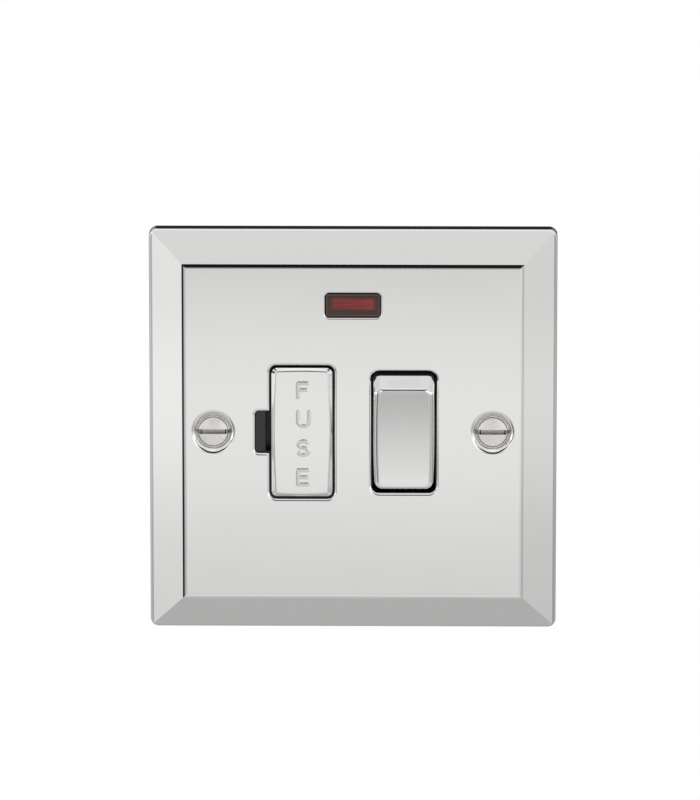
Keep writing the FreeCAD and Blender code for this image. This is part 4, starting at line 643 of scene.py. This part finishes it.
def round_mouths(nodes, normal):
    """The pressed mouths of the two dimples turn evenly from the panel to the cone."""
    across, inwards, upward = placed(nodes)
    beyond = abs(across) - screw_x
    away = (beyond * beyond + upward * upward) ** 0.5
    tilt = (mouth_outer - away) * (mouth_turn / (mouth_outer - mouth_inner))
    inward = tilt.math("SINE", tilt) / away
    outward_x = beyond * across.math("SIGN", across)
    round_normal = nodes.add(
        "ShaderNodeCombineXYZ",
        None,
        {0: -outward_x * inward, 1: -tilt.math("COSINE", tilt), 2: -upward * inward},
    )
    past_inner = away.rises(mouth_inner - mouth_blend, mouth_inner)
    past_outer = away.rises(mouth_outer - mouth_blend, mouth_outer)
    on_front = (-inwards).rises(near_panel, near_panel + 0.1)
    share = past_inner * (1.0 - past_outer) * on_front
    return nodes.add(
        "ShaderNodeMix", {"data_type": "VECTOR"}, {0: share, 4: normal, 5: round_normal}, 1
    )


dress(polished("plate_chrome", soft_edges, round_mouths), "faceplate")
border_width, border_fall = 0.36, 0.08
flat_half_width, flat_half_height, flat_side_bow, flat_end_bow = 6.1, 13.7, 0.4, 0.2


def soft_border(nodes):
    """The carrier's flat falls gently into the bevel round it."""
    x, _, upward = placed(nodes)
    across = x - carrier_x
    share_across, share_up = across / flat_half_width, upward / flat_half_height
    past_side = abs(across) + share_up * share_up * flat_side_bow - flat_half_width
    past_end = abs(upward) + share_across * share_across * flat_end_bow - flat_half_height
    past_edge = past_side.math("MAXIMUM", past_side, past_end)
    near = past_edge.math("MINIMUM", past_edge.above(-border_width), border_width) / border_width
    return near * near * -border_fall


dress(polished("carrier_chrome", soft_border), "fuse_carrier_cap")
dress(polished("shell_chrome"), "rocker_cap")


# Rocker face
# Moulded shell with a shallow crown and well-rounded sides, plated like the rest. It snaps over the
# rocker's black body and turns with it; at rest its top edge stands out.
rocker_pivot = Vector((rocker_x, pivot_y, 0.0))
rocker_lean = Matrix.Rotation(rest_lean, 3, "X")
skirt_half_width, skirt_half_height, skirt_level, skirt_corner = 6.6, 13.3, 5.8, 1.5
face_level, side_round, end_round = 9.0, 1.1, 0.7
side_flat, end_flat = 5.5, 10.9
side_bow, end_bow, flat_corner = 0.28, 0.1, 1.0
crown_radius = 288.0
corner_steps, side_shares, end_shares = 8, (0.12, 0.36, 0.6, 0.82), (0.6, 0.2)


def shell_ring(half_width, half_height, corner, side_level, end_level, bow):
    """One closed ring of the shell; its level runs from the sides' level to the ends' level."""
    ring_points = []
    for quarter, (sign_x, sign_z) in enumerate(((1, 1), (-1, 1), (-1, -1), (1, -1))):
        turns = [step / corner_steps for step in range(corner_steps + 1)]
        if quarter % 2:
            turns.reverse()
        side = [(half_width, (half_height - corner) * share) for share in side_shares]
        end = [((half_width - corner) * share, half_height) for share in end_shares]
        corner_run = [
            (
                half_width - corner + corner * math.cos(turn * math.pi / 2),
                half_height - corner + corner * math.sin(turn * math.pi / 2),
            )
            for turn in turns
        ]
        run = end[::-1] + corner_run + side[::-1] if quarter % 2 else side + corner_run + end
        for x, z in run:
            share_x, share_z = x / half_width, z / half_height
            rise = max(0.0, 1 - (half_width - x) / corner) if corner else 1.0
            level = end_level + (side_level - end_level) * rise * rise * (3 - 2 * rise)
            x_bowed = x - side_bow * bow * share_z**2
            z_bowed = z - end_bow * bow * share_x**2
            crowned = level - z * z / (2 * crown_radius)
            ring_points.append((x_bowed * sign_x, crowned, z_bowed * sign_z))
    return ring_points


rings = [
    shell_ring(
        skirt_half_width, skirt_half_height, skirt_corner, skirt_level, skirt_level, bow=0.0
    )
]
side_turn, end_turn = math.radians(84), math.radians(57)
round_steps = 8
for step in range(round_steps, -1, -1):
    share = step / round_steps
    rings.append(
        shell_ring(
            side_flat + side_round * math.sin(side_turn * share),
            end_flat + end_round * math.sin(end_turn * share),
            flat_corner + (skirt_corner - flat_corner) * share,
            face_level - side_round * (1 - math.cos(side_turn * share)),
            face_level - end_round * (1 - math.cos(end_turn * share)),
            1.0 - 0.5 * share,
        )
    )
for share in (0.8, 0.6, 0.4, 0.2):
    rings.append(
        shell_ring(
            side_flat * share, end_flat * share, flat_corner * share, face_level, face_level, share
        )
    )
ring_size = len(rings[0])
shell_points = [point for ring_points in rings for point in ring_points] + [(0.0, face_level, 0.0)]
shell_faces = []
for level in range(len(rings) - 1):
    for index in range(ring_size):
        following = (index + 1) % ring_size
        below, above = level * ring_size, (level + 1) * ring_size
        shell_faces.append((below + index, below + following, above + following, above + index))
last = (len(rings) - 1) * ring_size
middle = len(shell_points) - 1
for index in range(ring_size):
    shell_faces.append((last + index, last + (index + 1) % ring_size, middle))
mesh = bpy.data.meshes.new("rocker_face")
mesh.from_pydata(
    [(rocker_pivot + rocker_lean @ Vector((x, -level, z))) * MM for x, level, z in shell_points],
    [],
    shell_faces,
)
mesh.polygons.foreach_set("use_smooth", [True] * len(mesh.polygons))
face_chrome = polished("face_chrome")
rocker_face = place_piece("rocker_face", mesh, face_chrome, "rocker_body")
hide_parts("rocker_cap")

# Lettering of the carrier
# Four raised letters, one above the other, moulded with the carrier's face and plated with it. The
# strokes are a millimetre wide over their soft shoulders.
letter_chrome = polished("letter_chrome", blur=0.27)
letter_front = 7.3
half_stroke, flat_share, relief, sunk = 0.54, 0.12, 0.085, 0.006
letter_pitch, letter_reach_x, letter_reach_z, letter_margin = 0.06, 3.7, 4.3, 0.6


def arc(x, z, half_width, half_height, start, end, steps=12):
    """Points of a round stretch about x, z, from one angle to the other in degrees."""
    turns = [math.radians(start + (end - start) * step / steps) for step in range(steps + 1)]
    return [(x + half_width * math.cos(turn), z + half_height * math.sin(turn)) for turn in turns]


def distance(x, z, first, last):
    """From a point to a straight stretch between two points."""
    run_x, run_z = last[0] - first[0], last[1] - first[1]
    share = ((x - first[0]) * run_x + (z - first[1]) * run_z) / (run_x**2 + run_z**2)
    share = min(1.0, max(0.0, share))
    return math.hypot(x - first[0] - run_x * share, z - first[1] - run_z * share)


letter_left = -11.85
letters = {
    "F": (9.32, [[(2.05, 1.54), (0, 1.54), (0, -1.54)], [(0, 0.05), (1.75, 0.05)]]),
    "U": (2.94, [[(0, 1.6), (0, -0.35), *arc(1.2, -0.35, 1.2, 1.2, 180, 360), (2.4, 1.6)]]),
    "S": (
        -3.45,
        [[*arc(1.15, 0.78, 0.98, 0.76, 35, 250), *arc(1.15, -0.76, 1.06, 0.79, 78, -150)]],
    ),
    "E": (-9.9, [[(2.1, 1.58), (0, 1.58), (0, -1.58), (2.1, -1.58)], [(0, 0.02), (1.9, 0.02)]]),
}
for letter, (letter_z, strokes) in letters.items():
    stretches = []
    for stroke in strokes:
        stretches += [
            (
                (letter_left + first[0], letter_z + first[1]),
                (letter_left + last[0], letter_z + last[1]),
            )
            for first, last in zip(stroke, stroke[1:])
        ]
    columns, rows = int(letter_reach_x / letter_pitch), int(letter_reach_z / letter_pitch)
    corner = (letter_left - letter_margin, letter_z - letter_reach_z / 2)
    points, heights = [], []
    for row in range(rows + 1):
        for column_number in range(columns + 1):
            x, z = corner[0] + column_number * letter_pitch, corner[1] + row * letter_pitch
            away = min(distance(x, z, *stretch) for stretch in stretches) / half_stroke
            share = min(1.0, max(0.0, (1.0 - away) / (1.0 - flat_share)))
            height = relief * share * share * (3 - 2 * share) - sunk
            heights.append(height)
            points.append((x * MM, -(letter_front + height) * MM, z * MM))
    faces = []
    for row in range(rows):
        for column_number in range(columns):
            first = row * (columns + 1) + column_number
            face = (first, first + 1, first + columns + 2, first + columns + 1)
            if max(heights[index] for index in face) > -sunk:
                faces.append(face)
    mesh = bpy.data.meshes.new(f"letter_{letter}")
    mesh.from_pydata(points, [], faces)
    mesh.polygons.foreach_set("use_smooth", [True] * len(mesh.polygons))
    bare = bmesh.new()
    bare.from_mesh(mesh)
    loose = [vertex for vertex in bare.verts if not vertex.link_faces]
    bmesh.ops.delete(bare, geom=loose, context="VERTS")
    bare.to_mesh(mesh)
    bare.free()
    place_piece(f"letter_{letter}", mesh, letter_chrome, "carrier_body")

# Fuse
# A cartridge fuse in the carrier: glazed ceramic tube between two drawn caps, nickel plated.
ceramic, nodes = new_finish("glazed_ceramic")
glaze = grain(nodes, 2.0, 3.0)
close_finish(
    nodes,
    {
        "Base Color": nodes.mixed(glaze, colour(238, 234, 222), colour(224, 218, 202)),
        "Roughness": 0.16 + glaze * 0.1,
        "Coat Weight": 0.4,
        "Coat Roughness": 0.05,
    },
)
dress(ceramic, "fuse_tube")
nickel, nodes = new_finish("nickel_plate")
drawn_cap = grain(nodes, 0.4, 3.0, (1.0, 1.0, 0.1))
close_finish(
    nodes,
    {
        "Base Color": nodes.mixed(drawn_cap, colour(206, 202, 190), colour(188, 182, 168)),
        "Metallic": 1.0,
        "Roughness": 0.2 + drawn_cap * 0.16,
    },
)
dress(nickel, "fuse_cap_top", "fuse_cap_bottom")

# Neon window
# Clear red lens with a rounded rim and ribs behind its middle, pushed into the plate from behind.
# Unlit, the lamp's chamber shows as a lighter red band, and the solid rim round it is brown.
# The lighter band and the ribs' stripes are painted light, the chamber seen through the lens.
lens_z, chamber_lift, rib_rate = 27.9, 0.3, 8.5
# where the chamber's painted light and the lens fade out, from the middle to the sides and ends
chamber_sides, chamber_ends = (3.9, 5.1), (0.95, 1.45)
lens_sides, lens_ends = (5.45, 5.8), (2.1, 2.45)
# The rounded rim's dark border is painted shade, the pale line inside it a painted highlight.
red_lens, nodes = new_finish("clear_red_lens")
sideways, _, upward = placed(nodes)
upward = upward - lens_z
outward = abs(sideways)
streaks = grain(nodes, 0.35, 3.0, (0.03, 0.2, 1.0))
blotch = grain(nodes, 2.0, 2.0, (0.4, 1.0, 1.0))
# painted light: the chamber behind the clear lens, as a lighter red band
chamber_painted_light = 1.0 - outward.rises(*chamber_sides)
chamber_painted_light = chamber_painted_light * (1.0 - abs(upward - chamber_lift).rises(*chamber_ends))
ribs = nodes.add("ShaderNodeMath", {"operation": "SINE"}, {0: upward * rib_rate})
# painted shade along the rounded rim, and a painted highlight line just inside it
rim_painted_shade = 1.0 - (1.0 - outward.rises(*lens_sides)) * (1.0 - abs(upward).rises(*lens_ends))
rim_painted_highlight = rim_painted_shade * (1.0 - rim_painted_shade) * 4.0
# random streaks and blotches, painted stripes of the ribs seen through, and lighter to the right
tone = streaks.rises(0.3, 0.7) * 0.5 + blotch * 0.3 + ribs * 0.1 + sideways.rises(1.0, 4.5) * 0.2
brown = nodes.mixed(streaks, colour(58, 50, 44), colour(76, 62, 54))
brown = nodes.mixed(upward.rises(0.8, 1.6), brown, colour(66, 48, 44))
red = nodes.mixed(tone, colour(98, 44, 46), colour(152, 60, 60))
lens_colour = nodes.mixed(chamber_painted_light, brown, red)
lens_colour = nodes.mixed(rim_painted_shade, lens_colour, colour(40, 12, 16))
lens_colour = nodes.mixed(rim_painted_highlight * 0.6, lens_colour, colour(112, 100, 90))
close_finish(
    nodes,
    {
        "Base Color": lens_colour,
        "Roughness": 0.14 + streaks * 0.1,
        "IOR": 1.49,
        "Specular IOR Level": 0.3,
        "Normal": bumped(nodes, ribs, 0.02, 0.4),
    },
)
dress(red_lens, "neon_lens")

# Lamp, resistor and leads
# A small glass neon lamp in the housing's saddles, its resistor beside it with four colour bands,
# and tinned leads that run back to the load strips.
glass, nodes = new_finish("lamp_glass")
pinch = grain(nodes, 1.2, 2.0)
close_finish(
    nodes,
    {
        "Base Color": nodes.mixed(pinch, colour(240, 240, 236), colour(226, 222, 214)),
        "Roughness": 0.06 + pinch * 0.06,
        "Transmission Weight": 0.6,
        "IOR": 1.5,
    },
)
dress(glass, "neon_lamp")
lacquer, nodes = new_finish("resistor_lacquer")
along_body = placed(nodes)[0]
coats = nodes.mixed(grain(nodes, 0.8, 2.0), colour(206, 178, 132), colour(188, 158, 112))
band_half_width, band_blend = 0.28, 0.08
for middle, band in (
    (6.9, colour(120, 72, 40)),
    (8.2, colour(150, 60, 40)),
    (9.4, colour(200, 160, 60)),
    (11.1, colour(176, 138, 70)),
):
    past_band = abs(along_body - middle).rises(band_half_width, band_half_width + band_blend)
    coats = nodes.mixed(1.0 - past_band, coats, band)
close_finish(nodes, {"Base Color": coats, "Roughness": 0.35, "Coat Weight": 0.3})
dress(lacquer, "neon_resistor")
tinned, nodes = new_finish("tinned_copper")
tin = grain(nodes, 0.5, 3.0)
close_finish(
    nodes,
    {
        "Base Color": nodes.mixed(tin, colour(200, 198, 192), colour(176, 172, 164)),
        "Metallic": 1.0,
        "Roughness": 0.3 + tin * 0.2,
    },
)
dress(tinned, "neon_lead_live", "neon_lead_neutral", "neon_link")

# Fixing screws
# Slotted raised countersunk machine screws, M3.5, chrome plated. Their heads are slightly brushed
# by the cutter; the shanks carry a rolled thread of 0.6 mm pitch.
# Shade and light on the heads are painted in their colour, as said below.
screw_pitch, shank_start, shoulder_radius = 0.6, -2.3, 3.2
slot_half_width, slot_painted_shade_at, slot_painted_highlight_at = 0.5, 2.68, 2.8
for side, middle in (("left", -screw_x), ("right", screw_x)):
    screw_chrome, nodes = new_finish(f"screw_chrome_{side}")
    beside, depth, upward = placed(nodes)
    beside = beside - middle
    angle = nodes.add("ShaderNodeMath", {"operation": "ARCTAN2"}, {0: upward, 1: beside})
    turns = depth / screw_pitch + angle / math.tau
    thread = nodes.add("ShaderNodeMath", {"operation": "PINGPONG"}, {0: turns, 1: 0.5})
    on_shank = depth.rises(shank_start, shank_start + 0.2)
    lathe = grain(nodes, 0.7, 4.0)
    speckle = grain(nodes, 0.25, 3.0)
    relief_height = thread * 2.0 * on_shank + lathe * 0.03
    aside, upward = abs(beside), abs(upward)
    from_axis = (aside * aside + upward * upward) ** 0.5
    in_slot = 1.0 - upward.rises(slot_half_width, slot_half_width + 0.06)
    in_slot = in_slot * (1.0 - on_shank)
    # painted shade: dark at both ends of the slot
    slot_end_painted_shade = (1.0 - abs(aside - slot_painted_shade_at).rises(0.1, 0.2)) * in_slot
    # painted reflection: a dark ring round the head's flat
    shoulder_painted_reflection = 1.0 - abs(from_axis - shoulder_radius).rises(0.04, 0.14)
    shoulder_painted_reflection = shoulder_painted_reflection * (1.0 - on_shank) * (1.0 - in_slot)
    head = nodes.mixed(speckle.rises(0.3, 0.7), colour(228, 224, 220), colour(250, 247, 243))
    # painted shade: the slot's floor greyer than the head
    head = nodes.mixed(in_slot * (1.0 - aside.rises(2.7, 2.85)), head, colour(196, 194, 190))
    # painted highlight: the slot's walls near its ends shine white
    slot_wall_painted_highlight = in_slot * aside.rises(slot_painted_highlight_at, slot_painted_highlight_at + 0.15)
    head = nodes.mixed(slot_wall_painted_highlight, head, colour(255, 253, 246))
    head = nodes.mixed(shoulder_painted_reflection, head, colour(96, 90, 84))
    close_finish(
        nodes,
        {
            "Base Color": nodes.mixed(slot_end_painted_shade, head, colour(58, 54, 50)),
            "Metallic": 0.55 + on_shank * 0.45,
            "Roughness": 0.22 + lathe * 0.16,
            "Normal": bumped(nodes, relief_height, 0.3, 0.8),
        },
    )
    dress(screw_chrome, f"fixing_screw_{side}")
